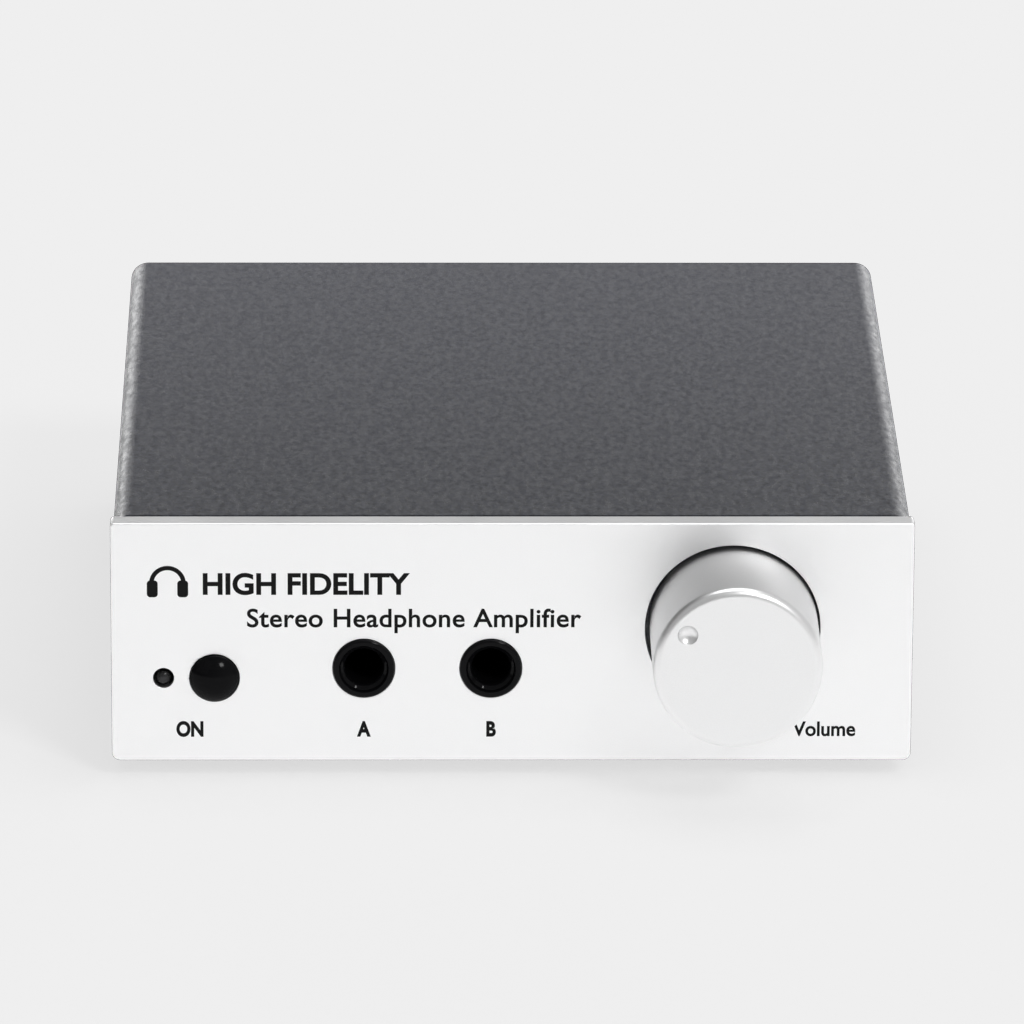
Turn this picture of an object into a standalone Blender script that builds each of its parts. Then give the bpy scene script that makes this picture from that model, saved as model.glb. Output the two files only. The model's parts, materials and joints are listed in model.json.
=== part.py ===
"""A desktop headphone amplifier, modelled piece by piece as it comes apart on a bench.

Metres, +Z up. Facing the front panel, X runs to the right and Y to the back. The origin is on the table,
under the middle of the whole object, sockets and knob included. Every piece hangs from an empty whose
own origin is on the table under the front panel's outer face, so y = 0 below is that face.
"""

import math

import bmesh
import bpy
from mathutils import Vector

MM = 0.001

# ---- Driving dimensions: case -------------------------------------------------------------------------
CASE_DEPTH = 148 * MM  # front panel's outer face to the cover's back edge
PANEL_WIDTH = 140 * MM
PANEL_HEIGHT = 44 * MM
PANEL_THICK = 4 * MM
PANEL_FOOT_CORNER = 1.4 * MM  # radius of the two lower corners
PANEL_HEAD_CORNER = 0.3 * MM
PANEL_BOTTOM = 3.5 * MM  # height above the table
PANEL_TOP = PANEL_BOTTOM + PANEL_HEIGHT

SHEET = 1.2 * MM  # steel of the cover and the chassis
FIT = 0.3 * MM  # gap between two pieces that rest on each other
SEAT = 0.15 * MM  # gap under a screw's head
OVERRUN = 1 * MM  # how far a cutter passes the face it opens
COVER_WIDTH = 139.2 * MM
COVER_BEND = 3.2 * MM  # outer radius
COVER_FRONT = PANEL_THICK + 0.6 * MM
COVER_HEM = 4.6 * MM  # height of the side walls' lower edges

FLOOR_BOTTOM = 4.0 * MM
FLOOR_TOP = FLOOR_BOTTOM + SHEET
CHASSIS_WIDTH = COVER_WIDTH - 2 * SHEET - 2 * FIT
CHASSIS_FRONT = PANEL_THICK + FIT
CHASSIS_BACK = CASE_DEPTH - FIT
CHASSIS_TOP = 45.6 * MM
CHASSIS_BEND = 2.0 * MM  # outer radius
CHASSIS_LIP_TOP = 15 * MM  # the side lips take the cover's screws
CHASSIS_LIP_INSET = 4 * MM  # from each upright to the end of a lip
WALL_FRONT = CHASSIS_FRONT + SHEET  # inner face of the front upright
WALL_BACK = CHASSIS_BACK - SHEET  # inner face of the rear upright

FOOT_RADIUS = 6 * MM
FOOT_TREAD = 4.4 * MM  # radius of the flat it stands on
FOOT_HEIGHT = FLOOR_BOTTOM - FIT

STANDOFF = 5 * MM
STANDOFF_RADIUS = 3 * MM
BOARD_THICK = 1.6 * MM
BOARD_BOTTOM = FLOOR_TOP + STANDOFF
BOARD_TOP = BOARD_BOTTOM + BOARD_THICK
BOARD_LOW = (-64 * MM, 8.5 * MM)
BOARD_HIGH = (64 * MM, WALL_BACK - 2 * MM)
PARTS_BASE = BOARD_TOP + FIT  # underside of whatever stands on the board

# ---- Driving dimensions: controls, each as (x, z) on the front panel ----------------------------------
LAMP_AT = (-60.9 * MM, 18.9 * MM)
BUTTON_AT = (-52.0 * MM, 18.9 * MM)
JACK_A_AT = (-25.9 * MM, 20.7 * MM)
JACK_B_AT = (-3.7 * MM, 20.7 * MM)
VOLUME_AT = (38.7 * MM, 28.1 * MM)

LAMP_RADIUS = 1.5 * MM
LAMP_FLANGE = 1.9 * MM

BUTTON_RADIUS = 4.28 * MM
BUTTON_SKIRT = 0.5 * MM  # how far the dome's rim stands out of the panel
BUTTON_RISE = 2.0 * MM  # of the dome over its rim
PLUNGER_RADIUS = 1.7 * MM
PLUNGER_COLLAR = 3.0 * MM
COLLAR_FRONT = 12 * MM
COLLAR_BACK = 14.5 * MM  # where the spring pushes
SWITCH_FRONT = 9.6 * MM
SWITCH_BACK = 27.6 * MM
SWITCH_WALL = 1.6 * MM
SPRING_RADIUS = 2.4 * MM
SPRING_WIRE = 0.28 * MM
SPRING_TURNS = 6

JACK_NOSE_RADIUS = 5.4 * MM
JACK_NOSE_END = 0.6 * MM  # in front of the panel
JACK_BORE = 3.3 * MM  # takes a 6.35 mm plug
JACK_MOUTH = 4.6 * MM
JACK_DEEP = 31 * MM  # the bore's closed end, behind the panel's face
JACK_WIDTH = 16 * MM
JACK_BACK = 33 * MM
LEAF = 0.4 * MM  # thickness of the contact spring

KNOB_RADIUS = 14.7 * MM
KNOB_GAP = 0.5 * MM  # between the knob and its hole in the panel
KNOB_PROJECTION = 21 * MM
KNOB_REAR = -2.5 * MM  # the rear end is sunk this far into the panel
KNOB_EDGE = 1.5 * MM  # rounding of the front edge
KNOB_RECESS = 12 * MM  # radius of the hollow behind the hub
KNOB_HUB = 2 * MM  # where the hub starts, in front of the panel
KNOB_SCREW_AT = 5 * MM  # in front of the panel
DIMPLE_RADIUS = 1.8 * MM
DIMPLE_DEPTH = 0.9 * MM
DIMPLE_FROM_AXIS = 10.8 * MM
DIMPLE_ANGLE = 54  # degrees anticlockwise from straight up, seen from the front

SHAFT_RADIUS = 3.0 * MM
SHAFT_FIT = SHAFT_RADIUS + 0.2 * MM  # radius of the bores that it turns in
BUSH_RADIUS = 4.5 * MM
POT_SIDE = 27 * MM
POT_FRONT = 8.1 * MM
POT_BACK = 31 * MM
TRACK_FRONT = 24.3 * MM
TRACK_THICK = 1.2 * MM
WIPER_FRONT = 22 * MM
WIPER_THICK = 1.6 * MM

# ---- Driving dimensions: rear sockets and the gain switch ---------------------------------------------
PHONO_PROJECTION = 8.5 * MM  # past the cover's back edge
PHONO_END = CASE_DEPTH + PHONO_PROJECTION
PHONO_RADIUS = 4.15 * MM
PHONO_INNER = 3.45 * MM
PHONO_FLANGE = 5.6 * MM
PHONO_HOLE = 1.65 * MM  # takes the plug's 3.2 mm pin
PHONO_COLUMNS = {"input": -36 * MM, "output": -18 * MM}
PHONO_ROWS = {"left": 32.5 * MM, "right": 18.5 * MM}
PHONO_BLOCK_FRONT = WALL_BACK - 14.5 * MM
INLET_AT = (50 * MM, 18.3 * MM)
INLET_FRONT = WALL_BACK - 13.5 * MM
INLET_BOTTOM = WALL_BACK - 8.5 * MM
INLET_BORE = 2.85 * MM
INLET_PIN = 1.05 * MM

GAIN_SWITCH_Y = 95 * MM
GAIN_FACE = 5.7 * MM  # height of the switch's lower face
GAIN_SLIDERS = {"left": -1.9 * MM, "right": 1.9 * MM}
GAIN_TRAVEL = 1.4 * MM
SLIDER_HALF = 0.7 * MM
SLOT_HALF = 0.95 * MM

# ---- Driving dimensions: fixings ----------------------------------------------------------------------
CORNERS = ("left_front", "left_back", "right_front", "right_back")
FOOT_AT = [(x * MM, y * MM) for x in (-56, 56) for y in (16, 132)]
BOARD_SCREW_AT = [(x * MM, y * MM) for x in (-59, 59) for y in (38, 136)]
COVER_SCREW_AT = [(side, y * MM) for side in (-1, 1) for y in (38, 120)]
COVER_SCREW_Z = 10 * MM
PANEL_CORNERS = ("left_lower", "left_upper", "right_lower", "right_upper")
PANEL_SCREW_AT = [(x * MM, z * MM) for x in (-63.5, 63.5) for z in (9, 42)]
PANEL_SCREW_SKIN = 1 * MM  # left in front of each blind hole
THREAD = 1.35 * MM  # radius of an M3 screw's stand-in shank
THREAD_HOLE = 1.6 * MM
SOCKET = 1.15 * MM  # corner radius of the hexagon socket

# The whole object's middle, so that the origin is under it.
FRONT_TO_MIDDLE = (PHONO_END - KNOB_PROJECTION) / 2

# Facets round a circle, by its size.
FINE, MEDIUM, COARSE, TINY = 64, 36, 20, 12

# Rotations that turn local +Z the way a piece points.
AIM = {
    "up": (0, 0, 0),
    "down": (math.pi, 0, 0),
    "front": (math.pi / 2, 0, 0),
    "back": (-math.pi / 2, 0, 0),
    "right": (0, math.pi / 2, 0),
    "left": (0, -math.pi / 2, 0),
}
# For a flat drawing in Y and Z, carried along X.
SIDE_VIEW = (math.pi / 2, 0, math.pi / 2)


# ---- Scene and materials ------------------------------------------------------------------------------
def clear_scene():
    for obj in list(bpy.data.objects):
        bpy.data.objects.remove(obj)


def material(name, colour, roughness, metallic=0.0):
    made = bpy.data.materials.new(name)
    made.use_nodes = True
    shader = made.node_tree.nodes["Principled BSDF"]
    shader.inputs["Base Color"].default_value = (*colour, 1.0)
    shader.inputs["Roughness"].default_value = roughness
    shader.inputs["Metallic"].default_value = metallic
    return made


def empty(name, at, parent=None):
    made = bpy.data.objects.new(name, None)
    bpy.context.scene.collection.objects.link(made)
    made.location = at
    made.parent = parent
    return made


clear_scene()
SILVER = material("anodised_silver", (0.86, 0.86, 0.86), 0.4, 1.0)
POWDER = material("graphite_powder_coat", (0.09, 0.092, 0.1), 0.6)
STEEL = material("zinc_steel", (0.62, 0.62, 0.6), 0.35, 1.0)
BLACK_STEEL = material("black_screw", (0.03, 0.03, 0.03), 0.4, 0.6)
GLOSS_BLACK = material("gloss_black_plastic", (0.012, 0.012, 0.012), 0.15)
MATTE_BLACK = material("matte_black_plastic", (0.03, 0.03, 0.03), 0.55)
SMOKED = material("smoked_lens", (0.03, 0.032, 0.035), 0.1)
RUBBER = material("black_rubber", (0.025, 0.025, 0.025), 0.8)
BOARD_GREEN = material("circuit_board", (0.02, 0.13, 0.06), 0.45)
BRASS = material("plated_contact", (0.8, 0.62, 0.28), 0.3, 1.0)
NICKEL = material("nickel_shell", (0.75, 0.73, 0.68), 0.2, 1.0)
RED = material("red_plastic", (0.55, 0.02, 0.02), 0.4)
WHITE = material("white_plastic", (0.8, 0.8, 0.78), 0.4)
SLEEVE = material("capacitor_sleeve", (0.03, 0.035, 0.08), 0.35)
PHENOLIC = material("resistive_track", (0.25, 0.12, 0.05), 0.5)

CASE = empty("case_frame", (0, -FRONT_TO_MIDDLE, 0))
VOLUME_AXIS = empty("volume_axis", (VOLUME_AT[0], 0, VOLUME_AT[1]), CASE)
BUTTON_AXIS = empty("button_axis", (BUTTON_AT[0], 0, BUTTON_AT[1]), CASE)


# ---- Drawing ------------------------------------------------------------------------------------------
def arc(centre, radius, start, end, steps):
    """Points from one angle to another, in degrees, both included."""
    angles = [math.radians(start + (end - start) * i / steps) for i in range(steps + 1)]
    return [(centre[0] + radius * math.cos(a), centre[1] + radius * math.sin(a)) for a in angles]


def circle(centre, radius, count):
    return arc(centre, radius, 0, 360, count)[:-1]


def rectangle(low, high):
    return [low, (high[0], low[1]), high, (low[0], high[1])]


def rounded_rectangle(low, high, foot, head, steps):
    """A rectangle with one radius on its two lower corners and another on its two upper ones."""
    return (
        arc((low[0] + foot, low[1] + foot), foot, 180, 270, steps)
        + arc((high[0] - foot, low[1] + foot), foot, 270, 360, steps)
        + arc((high[0] - head, high[1] - head), head, 0, 90, steps)
        + arc((low[0] + head, high[1] - head), head, 90, 180, steps)
    )


def channel(width, height, radius, steps):
    """The section of a sheet bent into a U, standing on its web, in the middle of the drawing's X."""
    half = width / 2
    inner = radius - SHEET
    left, right = (radius - half, radius), (half - radius, radius)
    return (
        [(-half, height)]
        + arc(left, radius, 180, 270, steps)
        + arc(right, radius, 270, 360, steps)
        + [(half, height), (half - SHEET, height)]
        + arc(right, inner, 360, 270, steps)
        + arc(left, inner, 270, 180, steps)
        + [(SHEET - half, height)]
    )


def strip(spine, thick):
    """The outline of a thin strip that follows a line of points, mitred at each bend."""
    points = [Vector(p) for p in spine]
    runs = [(b - a).normalized() for a, b in zip(points, points[1:])]
    left, right = [], []
    for i, point in enumerate(points):
        before, after = runs[max(i - 1, 0)], runs[min(i, len(runs) - 1)]
        across = Vector((-before.y - after.y, before.x + after.x)).normalized()
        reach = thick / 2 / across.dot(Vector((-after.y, after.x)))
        left.append(tuple(point + across * reach))
        right.append(tuple(point - across * reach))
    return left + right[::-1]


# ---- Closed meshes ------------------------------------------------------------------------------------
def prism(outline, depth, holes=(), start=0.0):
    """The flat outline, less its holes, carried along local Z from start by depth."""
    bm = bmesh.new()
    ends = []
    for height in (start, start + depth):
        loops = [[bm.verts.new((u, v, height)) for u, v in loop] for loop in (outline, *holes)]
        edges = [bm.edges.new(pair) for loop in loops for pair in zip(loop, loop[1:] + loop[:1])]
        bmesh.ops.triangle_fill(bm, use_beauty=True, edges=edges)
        ends.append(loops)
    for low, high in zip(*ends):
        for i in range(len(low)):
            bm.faces.new((low[i - 1], low[i], high[i], high[i - 1]))
    bmesh.ops.recalc_face_normals(bm, faces=bm.faces)
    return bm


def turned(profile, count, closed=False):
    """(radius, height) points spun about local Z. An open profile starts and ends on the axis."""
    bm = bmesh.new()
    points = [bm.verts.new((radius, 0, height)) for radius, height in profile]
    edges = [bm.edges.new(pair) for pair in zip(points, points[1:])]
    if closed:
        edges.append(bm.edges.new((points[-1], points[0])))
    bmesh.ops.spin(
        bm,
        geom=points + edges,
        axis=(0, 0, 1),
        cent=(0, 0, 0),
        angle=math.tau,
        steps=count,
        use_merge=True,
    )
    bmesh.ops.remove_doubles(bm, verts=bm.verts, dist=0.0001 * MM)
    bmesh.ops.recalc_face_normals(bm, faces=bm.faces)
    return bm


def rod(radius, start, end, count):
    return turned([(0, start), (radius, start), (radius, end), (0, end)], count)


def tube(inner, outer, start, end, count):
    return turned([(inner, start), (outer, start), (outer, end), (inner, end)], count, closed=True)


def block(low, high, edge=0.0):
    """A box between two corners, its edges taken off by one flat of width edge."""
    bm = bmesh.new()
    bmesh.ops.create_cube(bm, size=1)
    low, high = Vector(low), Vector(high)
    bmesh.ops.scale(bm, vec=high - low, verts=bm.verts)
    bmesh.ops.translate(bm, vec=(low + high) / 2, verts=bm.verts)
    if edge:
        bmesh.ops.bevel(bm, geom=bm.edges[:], offset=edge, segments=1, affect="EDGES")
    return bm


def helix(radius, wire, start, end, turns):
    """A round wire wound about local Z, its ends cut flat."""
    steps = turns * TINY
    spokes = [math.radians(60 * j) for j in range(6)]
    bm = bmesh.new()
    rings = []
    for i in range(steps + 1):
        angle = math.tau * i / TINY
        middle = start + wire + (end - start - 2 * wire) * i / steps
        ring = []
        for spoke in spokes:
            out = radius + wire * math.cos(spoke)
            up = middle + wire * math.sin(spoke)
            ring.append(bm.verts.new((out * math.cos(angle), out * math.sin(angle), up)))
        rings.append(ring)
    for low, high in zip(rings, rings[1:]):
        for j in range(len(spokes)):
            bm.faces.new((low[j - 1], low[j], high[j], high[j - 1]))
    bm.faces.new(rings[0])
    bm.faces.new(rings[-1])
    bmesh.ops.recalc_face_normals(bm, faces=bm.faces)
    return bm


def merged(cutters):
    """Several closed meshes as one, for a cutter that makes a row of holes."""
    bm = bmesh.new()
    for cutter in cutters:
        mesh = bpy.data.meshes.new("cutter")
        cutter.to_mesh(mesh)
        cutter.free()
        bm.from_mesh(mesh)
        bpy.data.meshes.remove(mesh)
    return bm


def drills(holes, start, end):
    """Cutters from y = start to y = end at (x, z, radius). Turn them to AIM["front"]."""
    return merged([prism(circle((x, z), radius, COARSE), end - start, start=-end) for x, z, radius in holes])


def side_drills(radius, width):
    """Cutters through both side walls for the cover's screws. Turn them to SIDE_VIEW."""
    reach = 2 * MM
    return merged(
        [
            prism(circle((y, COVER_SCREW_Z), radius, TINY), 2 * reach, start=side * width / 2 - reach)
            for side, y in COVER_SCREW_AT
        ]
    )


# ---- Objects ------------------------------------------------------------------------------------------
def mesh_of(name, bm, finish):
    mesh = bpy.data.meshes.new(name)
    bm.to_mesh(mesh)
    bm.free()
    mesh.materials.append(finish)
    mesh.shade_smooth()
    mesh.set_sharp_from_angle(angle=math.radians(35))
    return mesh


def place(name, mesh, at=(0, 0, 0), turn=(0, 0, 0), parent=CASE):
    made = bpy.data.objects.new(name, mesh)
    bpy.context.scene.collection.objects.link(made)
    made.location = at
    made.rotation_euler = turn
    made.parent = parent
    return made


def piece(name, bm, finish, at=(0, 0, 0), turn=(0, 0, 0), parent=CASE):
    return place(name, mesh_of(name, bm, finish), at, turn, parent)


def boolean(target, operation, bm, at, turn):
    """Cuts bm from target, or joins it on. The tool stays in the scene as a hidden wire."""
    name = f"{target.name}_tool_{len(target.modifiers)}"
    tool = piece(name, bm, target.data.materials[0], at, turn, target.parent)
    tool.hide_render = True
    tool.display_type = "WIRE"
    step = target.modifiers.new(name, "BOOLEAN")
    step.object = tool
    step.operation = operation
    step.solver = "EXACT"


def cut(target, bm, at=(0, 0, 0), turn=(0, 0, 0)):
    boolean(target, "DIFFERENCE", bm, at, turn)


def join(target, bm, at=(0, 0, 0), turn=(0, 0, 0)):
    boolean(target, "UNION", bm, at, turn)


def screw_mesh(name, finish, head, rise, length):
    """A low-headed screw with a hexagon socket. Local z = 0 is under the head, which rises along +Z."""
    lead = 0.3 * MM
    bm = turned(
        [
            (0, -length),
            (THREAD - lead, -length),
            (THREAD, -length + lead),
            (THREAD, 0),
            (head, 0),
            (head, 0.55 * rise),
            (0.78 * head, rise),
            (0, rise),
        ],
        TINY,
    )
    blank = place(f"{name}_blank", mesh_of(name, bm, finish))
    cut(blank, prism(circle((0, 0), SOCKET, 6), rise, start=0.35 * rise))
    graph = bpy.context.evaluated_depsgraph_get()
    mesh = bpy.data.meshes.new_from_object(blank.evaluated_get(graph))
    for used in (blank.modifiers[0].object, blank):
        bpy.data.objects.remove(used)
    return mesh


# ---- Case ---------------------------------------------------------------------------------------------
def build_front_panel():
    holes = [
        circle(LAMP_AT, LAMP_FLANGE, COARSE),
        circle(BUTTON_AT, BUTTON_RADIUS + 0.22 * MM, MEDIUM),
        circle(JACK_A_AT, JACK_NOSE_RADIUS + 0.12 * MM, MEDIUM),
        circle(JACK_B_AT, JACK_NOSE_RADIUS + 0.12 * MM, MEDIUM),
        circle(VOLUME_AT, KNOB_RADIUS + KNOB_GAP, FINE),
    ]
    low, high = (-PANEL_WIDTH / 2, PANEL_BOTTOM), (PANEL_WIDTH / 2, PANEL_TOP)
    outline = rounded_rectangle(low, high, PANEL_FOOT_CORNER, PANEL_HEAD_CORNER, 5)
    plate = prism(outline, PANEL_THICK, holes, start=-PANEL_THICK)
    panel = piece("front_panel", plate, SILVER, turn=AIM["front"])
    blind = [(x, z, THREAD_HOLE) for x, z in PANEL_SCREW_AT]
    cut(panel, drills(blind, PANEL_SCREW_SKIN, PANEL_THICK + OVERRUN), turn=AIM["front"])


def build_cover():
    """The channel section turned upside down, its web level with the panel's top edge."""
    drawn = channel(COVER_WIDTH, PANEL_TOP - COVER_HEM, COVER_BEND, 6)
    section = [(x, PANEL_TOP - drop) for x, drop in drawn]
    sheet = prism(section, CASE_DEPTH - COVER_FRONT, start=-CASE_DEPTH)
    cover = piece("top_cover", sheet, POWDER, turn=AIM["front"])
    cut(cover, side_drills(THREAD_HOLE, COVER_WIDTH), turn=SIDE_VIEW)


def build_chassis():
    """Floor with an upright at each end, side lips for the cover's screws, and pressed-in standoffs."""
    length = CHASSIS_BACK - CHASSIS_FRONT
    section = channel(length, CHASSIS_TOP - FLOOR_BOTTOM, CHASSIS_BEND, 4)
    tray = prism(section, CHASSIS_WIDTH, start=-CHASSIS_WIDTH / 2)
    chassis = piece("base_chassis", tray, POWDER, (0, CHASSIS_FRONT + length / 2, FLOOR_BOTTOM), SIDE_VIEW)
    add_lips(chassis)
    add_standoffs(chassis)
    cut(chassis, side_drills(THREAD_HOLE, CHASSIS_WIDTH), turn=SIDE_VIEW)
    open_front_wall(chassis)
    open_back_wall(chassis)
    window = rounded_rectangle((-5.2 * MM, -3.8 * MM), (5.2 * MM, 3.8 * MM), 0.8 * MM, 0.8 * MM, 3)
    cut(chassis, prism(window, SHEET + 2 * OVERRUN), (0, GAIN_SWITCH_Y, FLOOR_BOTTOM - OVERRUN))
    relieve_corners(chassis)


def add_lips(chassis):
    outer = CHASSIS_WIDTH / 2
    front, back = WALL_FRONT + CHASSIS_LIP_INSET, WALL_BACK - CHASSIS_LIP_INSET
    for left, right in ((-outer, SHEET - outer), (outer - SHEET, outer)):
        join(chassis, block((left, front, FLOOR_BOTTOM), (right, back, CHASSIS_LIP_TOP)))


def add_standoffs(chassis):
    root, top, blind = SHEET / 2, SHEET + STANDOFF - FIT, SHEET + 0.8 * MM
    profile = [
        (0, root),
        (STANDOFF_RADIUS, root),
        (STANDOFF_RADIUS, top),
        (THREAD_HOLE, top),
        (THREAD_HOLE, blind),
        (0, blind),
    ]
    for x, y in BOARD_SCREW_AT:
        join(chassis, turned(profile, TINY), (x, y, FLOOR_BOTTOM))


def open_front_wall(chassis):
    nose_hole = JACK_NOSE_RADIUS + 0.6 * MM
    holes = [
        (*LAMP_AT, LAMP_FLANGE + 0.5 * MM),
        (*BUTTON_AT, BUTTON_RADIUS + 0.6 * MM),
        (*JACK_A_AT, nose_hole),
        (*JACK_B_AT, nose_hole),
        (*VOLUME_AT, BUSH_RADIUS + 0.3 * MM),
        *((x, z, THREAD_HOLE + 0.1 * MM) for x, z in PANEL_SCREW_AT),
    ]
    cut(chassis, drills(holes, CHASSIS_FRONT - OVERRUN, WALL_FRONT + OVERRUN), turn=AIM["front"])


def open_back_wall(chassis):
    shell_hole = PHONO_RADIUS + 0.6 * MM
    holes = [(x, z, shell_hole) for x in PHONO_COLUMNS.values() for z in PHONO_ROWS.values()]
    holes.append((*INLET_AT, INLET_BORE + 1.55 * MM))
    cut(chassis, drills(holes, WALL_BACK - OVERRUN, CHASSIS_BACK + OVERRUN), turn=AIM["front"])


def relieve_corners(chassis):
    """The uprights' top corners are cut off at 45 degrees, to clear the cover's inner bends."""
    size = 3 * MM
    low, high = CHASSIS_TOP - size, CHASSIS_TOP + OVERRUN
    wedges = []
    for side in (-1, 1):
        outer = side * (CHASSIS_WIDTH / 2 + OVERRUN)
        inner = side * (CHASSIS_WIDTH / 2 - size - OVERRUN)
        outline = [(outer, low - OVERRUN), (outer, high), (inner, high)]
        wedges.append(prism(outline, CASE_DEPTH + 2 * OVERRUN, start=-CASE_DEPTH - OVERRUN))
    cut(chassis, merged(wedges), turn=AIM["front"])


def build_feet():
    profile = [
        (0, 0),
        (FOOT_TREAD, 0),
        (FOOT_RADIUS - 0.8 * MM, 0.3 * MM),
        (FOOT_RADIUS, FOOT_HEIGHT - 0.3 * MM),
        (FOOT_RADIUS, FOOT_HEIGHT),
        (0, FOOT_HEIGHT),
    ]
    mesh = mesh_of("foot", turned(profile, COARSE), RUBBER)
    for corner, (x, y) in zip(CORNERS, FOOT_AT):
        place(f"foot_{corner}", mesh, (x, y, 0))


def build_screws():
    cover_screw = screw_mesh("cover_screw", BLACK_STEEL, 2.75 * MM, 1.2 * MM, 4.6 * MM)
    for corner, (side, y) in zip(CORNERS, COVER_SCREW_AT):
        at = (side * (COVER_WIDTH / 2 + SEAT), y, COVER_SCREW_Z)
        place(f"cover_screw_{corner}", cover_screw, at, AIM["right" if side > 0 else "left"])
    panel_screw = screw_mesh("panel_screw", STEEL, 2.6 * MM, 1.8 * MM, 4.4 * MM)
    for corner, (x, z) in zip(PANEL_CORNERS, PANEL_SCREW_AT):
        place(f"panel_screw_{corner}", panel_screw, (x, WALL_FRONT + SEAT, z), AIM["back"])
    board_screw = screw_mesh("board_screw", STEEL, 2.6 * MM, 1.8 * MM, 5.6 * MM)
    for corner, (x, y) in zip(CORNERS, BOARD_SCREW_AT):
        place(f"board_screw_{corner}", board_screw, (x, y, BOARD_TOP + SEAT))


# ---- Volume control: the knob, its screw, the shaft and the wiper turn; the rest is fixed -------------
def build_knob():
    """Hung on the volume axis, its local +Z pointing to the front. The rear end sinks into the panel."""
    blind, bore, lead = 15 * MM, SHAFT_RADIUS + 0.1 * MM, 0.3 * MM
    profile = [
        (0, blind),
        (bore, blind),
        (bore, KNOB_HUB),
        (KNOB_RECESS, KNOB_HUB),
        (KNOB_RECESS, KNOB_REAR),
        (KNOB_RADIUS - lead, KNOB_REAR),
        (KNOB_RADIUS, KNOB_REAR + lead),
        *arc((KNOB_RADIUS - KNOB_EDGE, KNOB_PROJECTION - KNOB_EDGE), KNOB_EDGE, 0, 90, 4),
        (0, KNOB_PROJECTION),
    ]
    knob = piece("volume_knob", turned(profile, FINE), SILVER, turn=AIM["front"], parent=VOLUME_AXIS)
    angle = math.radians(DIMPLE_ANGLE)
    across, up = -DIMPLE_FROM_AXIS * math.sin(angle), DIMPLE_FROM_AXIS * math.cos(angle)
    cone = [(0, -DIMPLE_DEPTH), (2 * DIMPLE_RADIUS, DIMPLE_DEPTH), (0, DIMPLE_DEPTH)]
    cut(knob, turned(cone, COARSE), (across, -KNOB_PROJECTION, up), AIM["front"])
    hole = prism(circle((0, 0), 1.7 * MM, TINY), KNOB_RADIUS + OVERRUN)
    cut(knob, hole, (0, -KNOB_SCREW_AT, 0), AIM["down"])


def build_knob_screw():
    """A headless screw that grips the shaft from below, its hexagon socket facing out."""
    start, length = SHAFT_FIT, 5 * MM
    at = (0, -KNOB_SCREW_AT, 0)
    grub = prism(circle((0, 0), 1.5 * MM, TINY), length, start=start)
    screw = piece("knob_set_screw", grub, BLACK_STEEL, at, AIM["down"], VOLUME_AXIS)
    socket = prism(circle((0, 0), 0.87 * MM, 6), length, start=start + 0.6 * length)
    cut(screw, socket, at, AIM["down"])


def build_shaft_and_wiper():
    back, front, lead = -26.2 * MM, 13.7 * MM, 0.5 * MM
    profile = [
        (0, back),
        (SHAFT_RADIUS, back),
        (SHAFT_RADIUS, front - lead),
        (SHAFT_RADIUS - lead, front),
        (0, front),
    ]
    piece("pot_shaft", turned(profile, COARSE), NICKEL, turn=AIM["front"], parent=VOLUME_AXIS)
    reach, half_tip = 9.5 * MM, 2 * MM
    arm = arc((0, 0), 4.8 * MM, -60, 240, TINY) + [(-half_tip, -reach), (half_tip, -reach)]
    plate = prism(arm, WIPER_THICK, [circle((0, 0), SHAFT_FIT, COARSE)], start=-WIPER_FRONT - WIPER_THICK)
    piece("pot_wiper", plate, BRASS, turn=AIM["front"], parent=VOLUME_AXIS)


def build_bushing():
    """A square flange behind the front upright, with a barrel through it that carries washer and nut."""
    x, z = VOLUME_AT
    half, back = POT_SIDE / 2, POT_FRONT - FIT
    bore = [circle((0, 0), SHAFT_FIT, COARSE)]
    flange = prism(rectangle((-half, -half), (half, half)), 2 * MM, bore, start=-back)
    bush = piece("pot_bushing", flange, NICKEL, (x, 0, z), AIM["front"])
    join(bush, tube(SHAFT_FIT, BUSH_RADIUS, 1 * MM - back, -FIT, COARSE), (x, 0, z), AIM["front"])
    hole = BUSH_RADIUS + 0.3 * MM
    washer_back, washer_front = FIT - CHASSIS_FRONT, 0.9 * MM - CHASSIS_FRONT
    washer = tube(hole, 8 * MM, washer_back, washer_front, COARSE)
    piece("pot_washer", washer, STEEL, (x, 0, z), AIM["front"])
    hexagon, bore = circle((0, 0), 6.9 * MM, 6), [circle((0, 0), hole, COARSE)]
    nut = prism(hexagon, 2.2 * MM, bore, start=washer_front + FIT)
    piece("pot_nut", nut, STEEL, (x, 0, z), AIM["front"])


def build_pot_body():
    """A can open to the bushing, with a slot below for the track's terminal tongue."""
    x, z = VOLUME_AT
    half = POT_SIDE / 2
    can = block((x - half, POT_FRONT, z - half), (x + half, POT_BACK, z + half), 0.8 * MM)
    housing = piece("pot_housing", can, MATTE_BLACK)
    cut(housing, rod(12 * MM, 2 * MM - POT_BACK, OVERRUN - POT_FRONT, MEDIUM), (x, 0, z), AIM["front"])
    slot_back = TRACK_FRONT + TRACK_THICK + FIT
    slot_low = (x - 8 * MM, POT_FRONT - OVERRUN, z - half - OVERRUN)
    cut(housing, block(slot_low, (x + 8 * MM, slot_back, z - 5 * MM)))
    leg = PARTS_BASE - z
    wafer = arc((0, 0), 11.5 * MM, -48, 228, 24) + [(-7.6 * MM, leg), (7.6 * MM, leg)]
    hole = [circle((0, 0), SHAFT_FIT + 0.4 * MM, COARSE)]
    track = prism(wafer, TRACK_THICK, hole, start=-TRACK_FRONT - TRACK_THICK)
    piece("pot_track_board", track, PHENOLIC, (x, 0, z), AIM["front"])


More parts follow.
